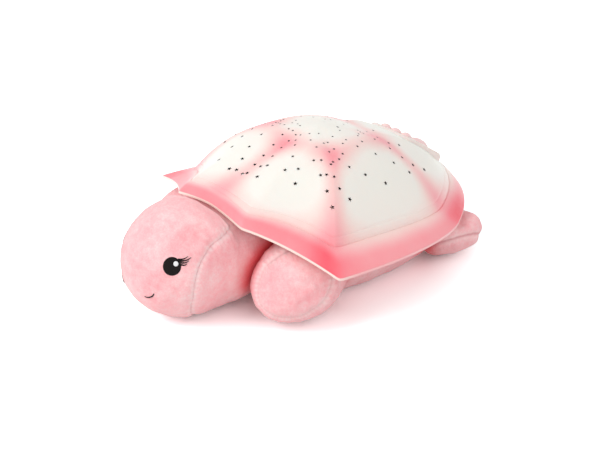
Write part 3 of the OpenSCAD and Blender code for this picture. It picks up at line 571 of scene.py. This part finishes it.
def head_form(steps=96, grow=0.0):
    """The head's form: an egg in front that runs on as the neck, as in the part's source."""
    front = HEAD_MID[1] - HEAD_Y * np.sin(np.linspace(math.pi / 2, 0, 41)[1:])
    back = np.linspace(HEAD_MID[1], NECK_END, 41)[1:]
    points = []
    for y in np.concatenate([front, back]):
        run = y - HEAD_MID[1]
        if run <= 0:
            wide = tall = math.sqrt(max(1 - (run / HEAD_Y) ** 2, 0))
            middle, full = HEAD_MID[2], 1.0
        else:
            wide = 1 - NECK_TAPER * (run / (NECK_END - HEAD_MID[1])) ** 2
            tall = 1 - NECK_DIP * (1 - math.cos(math.pi / 2 * min(run / NECK_DIP_L, 1)))
            middle = HEAD_MID[2] - HEAD_Z * (1 - tall)
            full = 1 + (NECK_FULL - 1) * min(run / NECK_DIP_L, 1)
        for i in range(steps):
            a = 2 * math.pi * i / steps
            c, q = math.cos(a), math.sin(a)
            power = full if q > 0 else 1.0
            points.append(((HEAD_X * wide + grow) * math.copysign(abs(c) ** power, c), y,
                           middle + (HEAD_Z * tall + grow) * math.copysign(abs(q) ** power, q)))
    n = len(points)
    points += [(0, HEAD_MID[1] - HEAD_Y - grow, HEAD_MID[2]), (0, NECK_END, middle)]
    return mesh_object("head_form", points, ring_faces(n // steps, steps, n, n + 1))


def limb(name, root, bent, tip, wide, thick, full, neck, steps=96, rings=90):
    """A stuffed limb along a curve, as in the part's source but finer."""
    step, swell = 0.05, 1.2
    root, bent, tip = (np.array(v, float) for v in (root, bent, tip))
    points = []

    def curve(s):
        return bend(root, bent, tip, np.array([s]))[0]
    for k in range(rings):
        s = math.sin(math.pi / 2 * k / rings)
        c = curve(s)
        d = curve(min(s + step, 1)) - curve(s - step)
        d /= np.linalg.norm(d)
        side = np.cross([0, 0, 1], d)
        side /= np.linalg.norm(side)
        up = np.cross(d, side)
        if s < full:
            size = neck + (1 - neck) * math.sin(math.pi / 2 * s / full) ** swell
        else:
            size = math.sqrt(max(1 - ((s - full) / (1 - full)) ** 2, 0))
        for i in range(steps):
            a = 2 * math.pi * i / steps
            points.append(c + size * (wide * math.cos(a) * side + thick * math.sin(a) * up))
    n = len(points)
    points += [root, tip]
    return mesh_object(name, points, ring_faces(rings, steps, n, n + 1))


def rest_on_floor(co, low=0.25, soft=3.0):
    """Flattens what lies low, as stuffing does on a table."""
    z = co[:, 2]
    co[:, 2] = np.where(z < low + soft, low + soft * np.exp((z - low - soft) / soft), z)
    return co


def seam_signed(co):
    """Distance behind the face's seam, a curve in the Y-Z plane, and the length along it."""
    p = co[:, 1:]
    best = np.full(len(co), 1e9)
    sign = np.zeros(len(co))
    along = np.zeros(len(co))
    run = 0.0
    for a, b in zip(SEAM_YZ[:-1], SEAM_YZ[1:]):
        d = b - a
        length = np.linalg.norm(d)
        s = np.clip((p - a) @ d / length ** 2, 0, 1)
        gap = p - a - s[:, None] * d
        dist = np.linalg.norm(gap, axis=1)
        closer = dist < best
        side = d[0] * gap[:, 1] - d[1] * gap[:, 0]
        best = np.where(closer, dist, best)
        sign = np.where(closer, np.sign(side), sign)
        along = np.where(closer, run + s * length, along)
        run += length
    return best * sign, along


def groove(obj, distance, along, depth, width, pucker, step, stitch):
    """Pulls the cloth in along a seam, with small gathers on both sides of it, and marks a painted
    highlight along it and painted shade in its groove.
    """
    ridge, drift, drift_step, groove_shade_width = 0.55, 1.3, 7.0, 1.1

    def band(middle, width):
        """1 at middle mm on both sides of the seam, fading over width mm."""
        return np.exp(-((np.abs(distance) - middle) / width) ** 2)
    wobble = np.sin(along * 2 * math.pi / step + drift * np.sin(along / drift_step))
    push_out(obj, pucker * band(3.2, 3.0) * wobble + ridge * band(5, 4) - depth * band(0, width))
    # pale is a painted highlight along the seam's ridges that also lightens its groove, brighter
    # where the gathers bulge; stitch is painted shade down the groove's middle
    pale = band(0.9, 1.7) * (0.75 + 0.25 * wobble)
    for attribute, value in (("seam", pale), ("stitch", stitch * band(0, groove_shade_width))):
        obj.data.attributes.new(attribute, "FLOAT", "POINT").data.foreach_set("value", value)


def lumps(obj, amount, scale, seed):
    push_out(obj, amount * wave_noise(co_of(obj), scale, seed))


def finish_soft(obj, name, node, body=ROOT):
    off_floor = 0.05
    co = co_of(obj)
    co[:, 2] = np.maximum(co[:, 2], off_floor)
    set_co(obj, co)
    obj.name = obj.data.name = name
    dress(obj, "plush")
    obj.data.polygons.foreach_set("use_smooth", [True] * len(obj.data.polygons))
    place(obj, body, "plush", node)
    return obj


def seam_cutter():
    """A slab that holds all behind the face: its front is the seam's curve."""
    outline = np.vstack([SEAM_YZ, [[40, -10], [40, 95]]])
    return lofted("seam_cutter", [flat(outline, x) for x in (-90, 90)], lambda p: p[:, [2, 0, 1]])


def body_cutter():
    """A box that holds all behind the neck's hidden end."""
    outline = np.array([(-90, -54), (90, -54), (90, 60), (-90, 60)], float)
    return lofted("body_cutter", [flat(outline, z) for z in (-20, 120)])


def build_head():
    """The face and the neck. Returns a search tree of the whole head as well."""
    form = remeshed(head_form(), 1.5, 5)
    set_co(form, rest_on_floor(co_of(form), 0.6, 2.0))
    distance, along = seam_signed(co_of(form))
    groove(form, distance, along, depth=0.8, width=1.3, pucker=0.35, step=4.5, stitch=0.0)
    # a fine seam down the middle of the face, which fades out near the face's own seam
    depth, width, fade = 0.4, 1.2, 10
    middle = np.exp(-(co_of(form)[:, 0] / width) ** 2)
    push_out(form, -depth * np.clip(-distance / fade, 0, 1) * middle)
    lumps(form, 0.25, 18, 3)
    tree = search_tree(form)
    neck = added("neck_cloth", form.data.copy())
    cut(form, seam_cutter())
    cut(neck, seam_cutter(), "INTERSECT")
    cut(neck, body_cutter())
    finish_soft(form, "face", "head")
    finish_soft(neck, "neck_cloth", "neck")
    return tree, neck


def under_shell_tree():
    """The shell's underside seen from above, as flat points, and their heights."""
    t = np.linspace(0, TURN / 2, 260)
    under = np.vstack([inside(t, l) for l in np.linspace(1.3, 2.97, 80)]
                      + [skin(t, 3) - [0, 0, EDGE_T]])
    tree = KDTree(len(under))
    for i, p in enumerate(under):
        tree.insert((p[0], p[1], 0), i)
    tree.balance()
    return tree, under[:, 2]


def press_under_shell(obj, soft, rise):
    """Keeps the cloth under the shell, over soft mm; beyond the rim it may rise with the gap."""
    always_free, clearance, rim_gap = 25, 0.8, 1.5
    tree, under = SHELL_UNDER
    co = co_of(obj)
    for i, p in enumerate(co):
        if p[2] > always_free:
            _, k, gap = tree.find((abs(p[0]), p[1], 0))
            low = under[k] - clearance - soft + rise * max(gap - rim_gap, 0)
            if p[2] > low:
                co[i, 2] = low + soft * (1 - math.exp(-(p[2] - low) / soft))
    set_co(obj, co)


# Root, bend and tip of each limb's curve, half its width and thickness, the share of its
# length at which it is fullest, and its size at the root
FRONT = ((62, -22, 36), (64, -46, 42), (77, -99, 25), 36, 33, 0.55, 0.75)
HIND = ((58, 78, 32), (66, 96, 33), (82, 141, 20), 27, 25, 0.55, 0.75)
TAIL = ((0, 120, 24), (0, 140, 26), (0, 175, 14), 17, 13, 0.3, 1.0)
# A point on each limb's seam plane and the plane's direction, the seed of its lumps, how dark
# the painted shade down its seam's groove is, and how it presses up under the shell
FRONT_SEAM = ((84.1, -80.4, 36.2), (0.678, -0.527, 0.513), 21, 0.2, (6.0, 0.9))
HIND_SEAM = ((92.4, 98.4, 27.7), (-0.668, 0.144, 0.73), 31, 0.6, (14.0, 0.3))
TAIL_SEAM = ((0, 150, 18), (0, 0.25, 1), 41, 0.4, (14.0, 0.3))


def casing_block():
    """The space of the casing, which the stuffing leaves free."""
    outline = rounded_loop(2 * TRAY_X + 1, 2 * TRAY_Y + 1, TRAY_R) + [0, BODY_Y]
    return lofted("casing_block", [flat(outline, z) for z in (-5, 90)])


def build_limb(node, form, seam, side=1):
    name = node.replace("flipper", "flipper_cloth").replace("tail", "tail_cloth")
    point, normal, seed, stitch, press = seam
    obj = limb(name, *form)
    cut(obj, casing_block())
    if form is FRONT:
        cut(obj, head_form(64, 0.6))
    remeshed(obj, 1.3, 5)
    press_under_shell(obj, *press)
    smoothed(obj, 24)
    set_co(obj, rest_on_floor(co_of(obj), 0.3, 3.5))
    plane = np.array(normal, float) / np.linalg.norm(normal)
    away = co_of(obj) - np.array(point, float)
    across = np.cross(plane, [0.36, 0.48, 0.8])
    across /= np.linalg.norm(across)
    around = np.arctan2(away @ np.cross(plane, across), away @ across)
    mean_radius = 30
    groove(obj, away @ plane, around * mean_radius, depth=1.1, width=1.3, pucker=0.3, step=4.0,
           stitch=stitch)
    lumps(obj, 0.3, 14, seed)
    if side < 0:
        set_co(obj, co_of(obj) * [-1, 1, 1])
        obj.data.flip_normals()
    return finish_soft(obj, name, node)


def mark_painted_shade(objs, shell):
    """Marks the cloth close to another stuffed piece or the shell, where a deep red painted shade
    goes.
    """
    reach, shell_reach, shell_share = 9.0, 6.0, 0.45
    trees = [search_tree(obj) for obj in objs]
    brim = search_tree(shell)

    def nearest(tree, point):
        gap = tree.find_nearest(point, 2.5 * reach * MM)[3]
        return math.inf if gap is None else gap / MM
    for obj, own in zip(objs, trees):
        others = [tree for tree in trees if tree is not own]
        value = []
        for vertex in obj.data.vertices:
            gap = min(nearest(tree, vertex.co) for tree in others)
            # squeezed is painted shade where pieces crowd each other, shaded is painted shade under
            # the shell
            squeezed = math.exp(-(gap / reach) ** 2)
            shaded = shell_share * math.exp(-(nearest(brim, vertex.co) / shell_reach) ** 2)
            value.append(1 - (1 - squeezed) * (1 - shaded))
        mark = obj.data.attributes.new("crease", "FLOAT", "POINT")
        mark.data.foreach_set("value", value)


def build_body():
    obj = added("body_cloth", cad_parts["plush_body"].data.copy())
    remeshed(obj, 2.0, 8)
    lumps(obj, 0.25, 22, 11)
    return finish_soft(obj, "body_cloth", "plush_body")


def build_flap():
    edge, radius = 2.2, 10
    low, high = (np.array(v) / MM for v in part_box("belly_flap"))
    w, l, h = high - low
    loops = []
    for a in np.linspace(0, math.pi, 13):
        inset = edge * (1 - max(math.sin(a), 0) ** 0.6)
        outline = rounded_loop(w - 2 * inset, l - 2 * inset, radius - inset, 10)
        loops.append(flat(outline + (low + high)[:2] / 2, low[2] + h * (1 - math.cos(a)) / 2))
    obj = remeshed(lofted("flap_form", loops), 1.2, 3)
    finish_soft(obj, "flap_cloth", "belly_flap", body="flap")


# ---- face details ----

EYE_TURN, EYE_LIFT, EYE_R = math.radians(43), math.radians(19), 7.6


def head_hit(tree, direction):
    origin = Vector(HEAD_MID * MM)
    hit, normal, _, _ = tree.ray_cast(origin, Vector(direction).normalized())
    return np.array(hit) / MM, np.array(normal)


def on_head(tree, direction, side):
    """Takes x, y mm on the head's surface, from where the direction meets it, and a lift off it
    to points. x runs towards the back of the head on both sides."""
    base, out = head_hit(tree, direction)
    right = np.cross([0, 0, 1], out)
    right /= np.linalg.norm(right)
    up = np.cross(out, right)

    def point(x, y, lift):
        hit, normal = head_hit(tree, base + x * side * right + y * up - HEAD_MID)
        return hit + lift * normal
    return point


def patch(name, point, rx, ry, look, lift, dome, rings, middle=(0, 0)):
    """A raised oval of stitching on the head, rx by ry round its middle."""
    steps, sunk = 48, -0.25
    x0, y0 = middle
    points = []
    for k in range(1, rings + 1):
        s = k / rings
        h = lift + dome * math.sqrt(1 - s ** 2) if k < rings else sunk
        for i in range(steps):
            a = 2 * math.pi * i / steps
            points.append(point(x0 + rx * s * math.cos(a), y0 + ry * s * math.sin(a), h))
    points.append(point(x0, y0, lift + dome))
    faces = ring_faces(rings, steps, closed_start=len(points) - 1)
    faces.append(tuple(range((rings - 1) * steps, rings * steps)))
    obj = mesh_object(name, points, faces)
    dress(obj, look)
    return obj


def strand(name, point, path, widths):
    """A stitched line on the head through places (x, y), with a half-round section."""
    lift, rise, steps, spans = 0.15, 0.45, 10, 8
    path = np.array(path, float)
    dense = []
    for k in range(len(path) - 1):
        p0, p1 = path[max(k - 1, 0)], path[k]
        p2, p3 = path[k + 1], path[min(k + 2, len(path) - 1)]
        for s in np.arange(spans) / spans:
            dense.append(0.5 * (2 * p1 + (p2 - p0) * s + (2 * p0 - 5 * p1 + 4 * p2 - p3) * s ** 2
                                + (3 * p1 - p0 - 3 * p2 + p3) * s ** 3))
    dense = np.array(dense + [path[-1]])
    width = np.interp(np.linspace(0, 1, len(dense)), np.linspace(0, 1, len(widths)), widths)
    direction = np.gradient(dense, axis=0)
    direction /= np.linalg.norm(direction, axis=1)[:, None]
    across = np.column_stack([-direction[:, 1], direction[:, 0]])
    points = []
    for p, a, w in zip(dense, across, width):
        for b in 2 * math.pi * np.arange(steps) / steps:
            points.append(point(*(p + a * w / 2 * math.cos(b)), lift + rise * w * math.sin(b)))
    obj = mesh_object(name, points, tube_faces(len(dense), steps))
    dress(obj, "eye")
    place(obj, ROOT, "eye_thread")


# Each lash, from the eye's middle: the places it runs through and its widths
LASHES = (
    ([(5.0, 5.4), (7.5, 5.3), (10.2, 5.8), (12.9, 7.3)], [1.4, 1.1, 0.8, 0.35]),
    ([(5.9, 4.3), (8.9, 4.1), (12.2, 4.6), (15.4, 6.3)], [1.5, 1.2, 0.9, 0.35]),
    ([(6.7, 2.8), (9.1, 2.4), (11.4, 2.7), (13.5, 3.9)], [1.4, 1.1, 0.8, 0.35]),
    ([(7.1, 1.2), (8.9, 0.6), (10.5, 0.7), (11.8, 1.6)], [1.3, 1.1, 0.8, 0.35]),
)
SMILE_AT = (20.0, -171.5, 39.5)
SMILE = ([(-5.2, -2.6), (-2.9, -2.9), (0, -2.0), (2.5, 0.1), (3.8, 2.5)], [0.5, 1.0, 1.1, 1.1, 0.6])


def build_face(tree):
    """Eyes with glints and lashes, and a smile on each side."""
    for side, word in ((1, "left"), (-1, "right")):
        look = (side * math.sin(EYE_TURN) * math.cos(EYE_LIFT),
                -math.cos(EYE_TURN) * math.cos(EYE_LIFT), math.sin(EYE_LIFT))
        point = on_head(tree, look, side)
        eye = patch(f"eye_patch_{word}", point, EYE_R, EYE_R * 1.05, "eye",
                    lift=0.12, dome=0.3, rings=10)
        place(eye, ROOT, "eye_thread", f"eye_{word}")
        glint = patch(f"eye_glint_{word}", point, 2.3, 2.4, "glint",
                      lift=0.5, dome=0.15, rings=5, middle=(3.2, 2.0))
        place(glint, ROOT, "hook_tape")     # white thread, attached to the turtle's body
        for i, lash in enumerate(LASHES):
            strand(f"lash_{word}_{i}", point, *lash)
        mouth = np.array(SMILE_AT) * [side, 1, 1] - HEAD_MID
        strand(f"smile_{word}", on_head(tree, mouth, side), *SMILE)


# ---- control pad and buttons ----

# Half sections of the pad's openings and posts, as (radius, z)
SMALL_HOLE = ((0, -5), (5.3, -5), (5.3, -0.5), (5.9, 0.1), (6.3, 1), (0, 1))
LARGE_HOLE = ((0, -5), (9.8, -5), (9.8, -0.9), (11.3, -0.6), (12.4, 0.05), (12.6, 1), (0, 1))
POST = ((0, -10.5), (1.2, -10.5), (3.0, -10.5), (3.0, -2.2), (0, -2.2))
POST_X = 16.5


def pad_loop(inset):
    return rounded_loop(PAD_W - 2 * inset, PAD_L - 2 * inset, PAD_R - inset)


def pad_face(inset, z):
    """Loops from an inset outline of the pad to its middle, along its curved face."""
    return [curved(pad_loop(inset) * share, z) for share in (1, 0.8, 0.6, 0.4, 0.2, 0.01)]


def build_pad():
    edge, wall = 2.4, 2
    loops = [flat(pad_loop(0), -PAD_SKIRT)]
    for a in np.linspace(0, math.pi / 2, 9):
        loops.append(curved(pad_loop(edge * (1 - math.cos(a))), edge * (math.sin(a) - 1)))
    # a shallow moulded panel line round the top
    for inset, z in ((4.0, 0.0), (4.4, -0.3), (5.1, -0.3), (5.5, 0.0)):
        loops.append(curved(pad_loop(inset), z))
    pad = lofted("pad_cover", loops + pad_face(6, 0.0), on_pad)
    cut(pad, lofted("hollow", [flat(pad_loop(wall), -PAD_SKIRT - 1)] + pad_face(wall, -PAD_PLATE),
                    on_pad))
    for i in (-1, 0, 1):
        cut(pad, turned("hole", SMALL_HOLE, 48, on_face(RAIL_Y), (i * PITCH, 0)))
    cut(pad, turned("hole", LARGE_HOLE, 64, on_face(POWER_Y)))
    place(pad, ROOT, "pad_plastic", "control_pad")
    # the posts that carry the button boards
    posts = [turned("post", POST, 32, on_face(y), (x, shift))
             for y, shift in ((RAIL_Y, 9.6), (POWER_Y, 0.0)) for x in (-POST_X, POST_X)]
    for post in posts:
        place(post, ROOT, "pad_plastic")
    for piece in [pad] + posts:
        smooth_by_angle(piece, 30)
        dress(piece, "pad")


def button_profile(r, rise):
    """Half section of a key: dome, wall, flange under the pad's plate and stem."""
    clearance, lip, shoulder, stem, stem_end = 0.3, 1.4, 1.4, 1.8, -5.4
    flange = r + 1.35
    under = -PAD_PLATE - clearance - flange ** 2 / (2 * (PAD_CURVE - PAD_PLATE))
    dome = [(0, rise - 0.02)]
    for s in np.arange(1, 11) / 10:
        dome.append(((r - 0.9) * s, rise - (rise - shoulder) * s ** 2.2))
    return dome + [(r - 0.35, 1.15), (r - 0.08, 0.8), (r, 0.3), (r, under), (flange, under),
                   (flange, under - lip), (stem, under - lip), (stem, stem_end), (0, stem_end)]


def build_buttons():
    for word, x, y, d, rise in (
        ("power", 0, POWER_Y, POWER_D, 4.2), ("left", PITCH, RAIL_Y, BUTTON_D, 3.0),
        ("middle", 0, RAIL_Y, BUTTON_D, 3.0), ("right", -PITCH, RAIL_Y, BUTTON_D, 3.0),
    ):
        node, body = word + "_button", word + "_key"
        cap = turned(node + "_cap", button_profile(d / 2, rise), 72, on_face(y), (x, 0))
        smooth_by_angle(cap, 40)
        dress(cap, "button")
        place(cap, body, "button_plastic", node)


# ---- materials ----


def srgb(r, g, b):
    def lin(c):
        c /= 255
        return c / 12.92 if c <= 0.04045 else ((c + 0.055) / 1.055) ** 2.4
    return (lin(r), lin(g), lin(b), 1.0)


class Nodes:
    """Short ways to add shader nodes to a new material."""

    def __init__(self, name):
        self.mat = bpy.data.materials.new(name)
        self.mat.use_nodes = True
        self.tree = self.mat.node_tree
        self.bsdf = self.tree.nodes["Principled BSDF"]
        self.coords = self.tree.nodes.new("ShaderNodeTexCoord").outputs["Object"]

    def feed(self, node, sockets):
        """Sets each named or numbered socket, or links it where the value is another's output."""
        for name, value in sockets.items():
            if hasattr(value, "is_output"):
                self.tree.links.new(value, node.inputs[name])
            else:
                node.inputs[name].default_value = value
        return node

    def set(self, **values):
        self.feed(self.bsdf, {key.replace("_", " "): value for key, value in values.items()})

    def add(self, kind, sockets):
        return self.feed(self.tree.nodes.new(kind), sockets)

    def attribute(self, name):
        node = self.tree.nodes.new("ShaderNodeAttribute")
        node.attribute_name = name
        return node.outputs["Fac"]

    def noise(self, scale, detail, rough=0.55):
        node = self.add("ShaderNodeTexNoise", {
            "Vector": self.coords, "Scale": scale, "Detail": detail, "Roughness": rough})
        return node.outputs["Fac"]

    def math(self, op, a, b):
        node = self.add("ShaderNodeMath", {0: a, 1: b})
        node.operation = op
        return node.outputs[0]

    def total(self, *terms):
        """Sum of (socket, factor) pairs."""
        out = None
        for socket, factor in terms:
            term = self.math("MULTIPLY", socket, factor)
            out = term if out is None else self.math("ADD", out, term)
        return out

    def ramp(self, fac, *stops):
        node = self.tree.nodes.new("ShaderNodeValToRGB")
        ramp = node.color_ramp
        while len(ramp.elements) < len(stops):
            ramp.elements.new(0.5)
        for element, (at, color) in zip(ramp.elements, stops):
            element.position = at
            element.color = color
        return self.feed(node, {0: fac}).outputs[0]

    def mix(self, fac, a, b):
        node = self.add("ShaderNodeMix", {})
        node.data_type = "RGBA"
        self.feed(node, {0: fac, 6: a, 7: b})
        return node.outputs[2]

    def color(self, socket):
        self.tree.links.new(socket, self.bsdf.inputs["Base Color"])

    def rough(self, scale, detail, low, high):
        """Roughness that wanders between two values."""
        fac = self.noise(scale, detail)
        grey = self.ramp(fac, (0.3, (low, low, low, 1)), (0.7, (high, high, high, 1)))
        self.tree.links.new(grey, self.bsdf.inputs["Roughness"])

    def bump(self, height, distance, strength):
        node = self.add("ShaderNodeBump", {
            "Strength": strength, "Distance": distance * MM, "Height": height})
        self.tree.links.new(node.outputs[0], self.bsdf.inputs["Normal"])


SHELL_COLORS = (
    (0.0, srgb(243, 238, 229)), (0.10, srgb(244, 236, 228)), (0.34, srgb(249, 208, 203)),
    (0.60, srgb(250, 168, 173)), (0.84, srgb(251, 122, 134)), (1.0, srgb(248, 92, 108)))
RIM_EDGE = srgb(248, 224, 214)
PILE, PILE_DEEP, PILE_LIGHT = srgb(254, 192, 195), srgb(251, 168, 174), srgb(255, 215, 215)
# painted light on the pile: a pale painted highlight along seams, a deep red painted shade in
# crevices and under the shell, and a darker painted shade in the seams' grooves
SEAM_HIGHLIGHT, CREASE_SHADE, GROOVE_SHADE = srgb(255, 228, 226), srgb(226, 44, 58), srgb(196, 96, 108)
SHEEN = srgb(255, 208, 210)


def shell_material():
    """Milky plastic with airbrushed pink: the attribute's red is paint, its green the bare edge."""
    n = Nodes("shell_plastic")
    attribute = n.tree.nodes.new("ShaderNodeAttribute")
    attribute.attribute_name = "paint"
    split = n.add("ShaderNodeSeparateColor", {0: attribute.outputs["Color"]})
    paint, edge = split.outputs[0], split.outputs[1]
    cloud, speck = (n.math("SUBTRACT", n.noise(scale, 2), 0.5) for scale in (55, 900))
    value = n.total((paint, 1.0), (cloud, 0.10), (speck, 0.05))
    n.color(n.mix(edge, n.ramp(value, *SHELL_COLORS), RIM_EDGE))
    n.rough(260, 3, 0.36, 0.46)
    n.set(Subsurface_Weight=0.22, Subsurface_Scale=0.006, Subsurface_Radius=(1.0, 0.7, 0.6),
          IOR=1.46, Coat_Weight=0.12, Coat_Roughness=0.3)
    n.bump(n.noise(1100, 2), 0.03, 0.35)
    return n.mat


def plush_material():
    """Short velour pile: brushed patches, fine fibre grain and a soft sheen, with a painted
    highlight along the seams, painted shade in their grooves and a deep red painted shade in
    crevices and under the shell.
    """
    n = Nodes("plush_pile")
    patches = n.noise(38, 3, 0.6)
    tufts = n.noise(210, 3, 0.65)
    grain = n.noise(700, 3, 0.7)
    fibre = n.noise(1900, 2, 0.7)
    value = n.total((patches, 0.40), (tufts, 0.28), (grain, 0.24), (fibre, 0.14))
    shade = n.ramp(value, (0.40, PILE_DEEP), (0.53, PILE), (0.66, PILE_LIGHT))
    # painted light: a pale painted highlight on the seams, deep red painted shade in crevices and
    # under the shell, darker painted shade in the seams' grooves
    shade = n.mix(n.math("MULTIPLY", n.attribute("seam"), 0.7), shade, SEAM_HIGHLIGHT)
    shade = n.mix(n.math("MULTIPLY", n.attribute("crease"), 0.94), shade, CREASE_SHADE)
    n.color(n.mix(n.attribute("stitch"), shade, GROOVE_SHADE))
    n.set(Roughness=0.95, Specular_IOR_Level=0.1, Sheen_Weight=0.7, Sheen_Roughness=0.5,
          Sheen_Tint=SHEEN, Subsurface_Weight=0.15, Subsurface_Scale=0.004,
          Subsurface_Radius=(1.0, 0.45, 0.4))
    n.bump(n.total((tufts, 0.9), (grain, 0.5), (fibre, 0.35)), 0.8, 0.6)
    return n.mat


def plain(name, base, dark, rough, scale=300, bump=0.04, **more):
    """Moulded or drawn surface with a fine grain and slight changes of shade."""
    n = Nodes(name)
    n.color(n.ramp(n.noise(scale, 3), (0.32, srgb(*dark)), (0.68, srgb(*base))))
    n.rough(scale * 2.3, 2, rough - 0.05, rough + 0.07)
    n.set(**more)
    n.bump(n.noise(scale * 4, 2), bump, 0.4)
    return n.mat


def stitched(name, base, dark):
    """Satin stitch: fine parallel threads."""
    n = Nodes(name)
    wave = n.add("ShaderNodeTexWave", {"Scale": 1400, "Distortion": 2.0, "Vector": n.coords})
    n.color(n.ramp(wave.outputs["Fac"], (0.2, srgb(*dark)), (0.9, srgb(*base))))
    n.set(Roughness=0.6, Specular_IOR_Level=0.12)
    n.bump(wave.outputs["Fac"], 0.12, 0.6)
    return n.mat


MAT = {
    "shell": shell_material(),
    "plush": plush_material(),
    "eye": stitched("eye_thread", (28, 21, 20), (14, 10, 10)),
    "glint": stitched("glint_thread", (250, 250, 250), (226, 228, 230)),
    # near-black painted shade on the star holes' walls, for the dark inside of the shell
    "hole": plain("star_hole_shade", (34, 25, 25), (20, 14, 14), 0.6),
    # the pad and the buttons are set pale, a painted wash of backlight over their pink plastic
    "pad": plain("pad_plastic", (247, 229, 222), (243, 220, 213), 0.42, Subsurface_Weight=0.1),
    "button": plain("button_plastic", (249, 214, 212), (246, 203, 202), 0.40,
                    Subsurface_Weight=0.1),
    "casing": plain("casing_plastic", (236, 233, 228), (226, 222, 217), 0.48),
    "board": plain("board_lacquer", (32, 96, 62), (24, 78, 50), 0.35, 180),
    "lamp_board": plain("lamp_board_lacquer", (235, 236, 232), (222, 224, 220), 0.35, 180),
    "chip": plain("chip_epoxy", (38, 38, 42), (26, 26, 29), 0.55, 240),
    "steel": plain("screw_steel", (190, 190, 194), (160, 161, 166), 0.30, 500, Metallic=1.0),
    "cell": plain("cell_jacket", (196, 160, 70), (180, 142, 58), 0.32, 260, Metallic=0.6),
    "cable": plain("cable_jacket", (150, 150, 152), (134, 134, 138), 0.5),
    "lead": plain("lead_jacket", (170, 34, 32), (148, 26, 26), 0.5),
    "lens": plain("lamp_lens", (226, 238, 248), (214, 228, 240), 0.12, 200,
                  Transmission_Weight=0.6),
    "tape": plain("hook_tape", (240, 226, 226), (222, 204, 206), 0.9, 700, 0.35,
                  Sheen_Weight=0.3),
}

for look, nodes in {
    "board": ("button_board", "main_board"),
    "lamp_board": ("lamp_board",),
    "chip": ("button_switches", "board_parts"),
    "casing": ("casing_tray", "battery_door", "lamp_post"),
    "steel": ("door_screw", "shell_screws", "pad_screws", "board_screws", "lamp_screws",
              "battery_contacts"),
    "cell": ("battery_cells",),
    "lens": ("leds",),
    "cable": ("button_cable", "lamp_cable"),
    "lead": ("battery_leads",),
    "tape": ("hook_strip", "loop_strip"),
}.items():
    for node in nodes:
        dress(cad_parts[node], look)

# ---- build ----

SHELL_UNDER = under_shell_tree()
shell = build_shell()
head_tree, neck = build_head()
build_face(head_tree)
cloths = [neck]
for side, word in ((1, "left"), (-1, "right")):
    cloths.append(build_limb(f"front_flipper_{word}", FRONT, FRONT_SEAM, side))
    cloths.append(build_limb(f"rear_flipper_{word}", HIND, HIND_SEAM, side))
cloths.append(build_limb("tail", TAIL, TAIL_SEAM))
cloths.append(build_body())
mark_painted_shade(cloths, shell)
build_flap()
build_pad()
build_buttons()

# ---- camera, lights and floor ----

AZIMUTH, ELEVATION, DISTANCE = math.radians(50), math.radians(28), 1.150
TARGET = Vector((0.0331, -0.0261, 0.060))
FOCAL_PX, WIDTH_PX, SENSOR = 1380.0, 600.0, 36.0


def aim(obj, at):
    obj.rotation_euler = (at - obj.location).to_track_quat("-Z", "Y").to_euler()


# Level directions, to the camera's right and away from it
RIGHT = Vector((math.cos(AZIMUTH), math.sin(AZIMUTH), 0))
AWAY = Vector((-math.sin(AZIMUTH), math.cos(AZIMUTH), 0))
UP = Vector((0, 0, 1))

cam_data = bpy.data.cameras.new("camera")
cam_data.sensor_width = SENSOR
cam_data.lens = FOCAL_PX / WIDTH_PX * SENSOR
cam_data.clip_end = 50
camera = added("camera", cam_data)
camera.location = TARGET + DISTANCE * (UP * math.sin(ELEVATION) - AWAY * math.cos(ELEVATION))
aim(camera, TARGET)
bpy.context.scene.camera = camera

KEY_WATTS, FILL_WATTS = 10, 3.8
for name, direction, distance, size, power in (
    ("key_light", -1.0 * RIGHT - 0.45 * AWAY + 0.85 * UP, 1.6, 1.0, KEY_WATTS),
    ("fill_light", 0.5 * RIGHT - 1.0 * AWAY + 0.8 * UP, 2.0, 1.6, FILL_WATTS),
):
    data = bpy.data.lights.new(name, "AREA")
    data.shape = "DISK"
    data.size = size
    data.energy = power
    light = added(name, data)
    light.location = TARGET + direction.normalized() * distance
    aim(light, TARGET)


def seen_directly(tree):
    """Socket that is 1 for what the camera sees, also in metal and glass, and 0 for light."""
    path = tree.nodes.new("ShaderNodeLightPath")
    socket = path.outputs["Is Camera Ray"]
    for ray in ("Is Glossy Ray", "Is Transmission Ray"):
        node = tree.nodes.new("ShaderNodeMath")
        node.operation = "MAXIMUM"
        tree.links.new(socket, node.inputs[0])
        tree.links.new(path.outputs[ray], node.inputs[1])
        socket = node.outputs[0]
    return socket


WORLD_LIGHT, WORLD_SEEN = 0.80, 1.0
world = bpy.data.worlds.new("world")
world.use_nodes = True
bpy.context.scene.world = world
tree = world.node_tree
background = tree.nodes["Background"]
background.inputs["Color"].default_value = (1, 1, 1, 1)
strength = tree.nodes.new("ShaderNodeMapRange")
strength.inputs["To Min"].default_value = WORLD_LIGHT
strength.inputs["To Max"].default_value = WORLD_SEEN
tree.links.new(seen_directly(tree), strength.inputs["Value"])
tree.links.new(strength.outputs[0], background.inputs["Strength"])

# the floor's own colour, and the brighter one that the camera sees as white outside the shadow
FLOOR_LIT, FLOOR_SEEN, FLOOR_HALF = (0.85, 0.85, 0.85, 1), (1.52, 1.66, 1.66, 1), 4000
floor = mesh_object("floor", [(x * FLOOR_HALF, y * FLOOR_HALF, 0)
                              for x, y in ((-1, -1), (1, -1), (1, 1), (-1, 1))], [(0, 1, 2, 3)])
surface = Nodes("floor")
surface.set(Roughness=0.8, Specular_IOR_Level=0.1)
surface.color(surface.mix(seen_directly(surface.tree), FLOOR_LIT, FLOOR_SEEN))
floor.data.materials.append(surface.mat)

bpy.context.scene.view_settings.view_transform = "Standard"
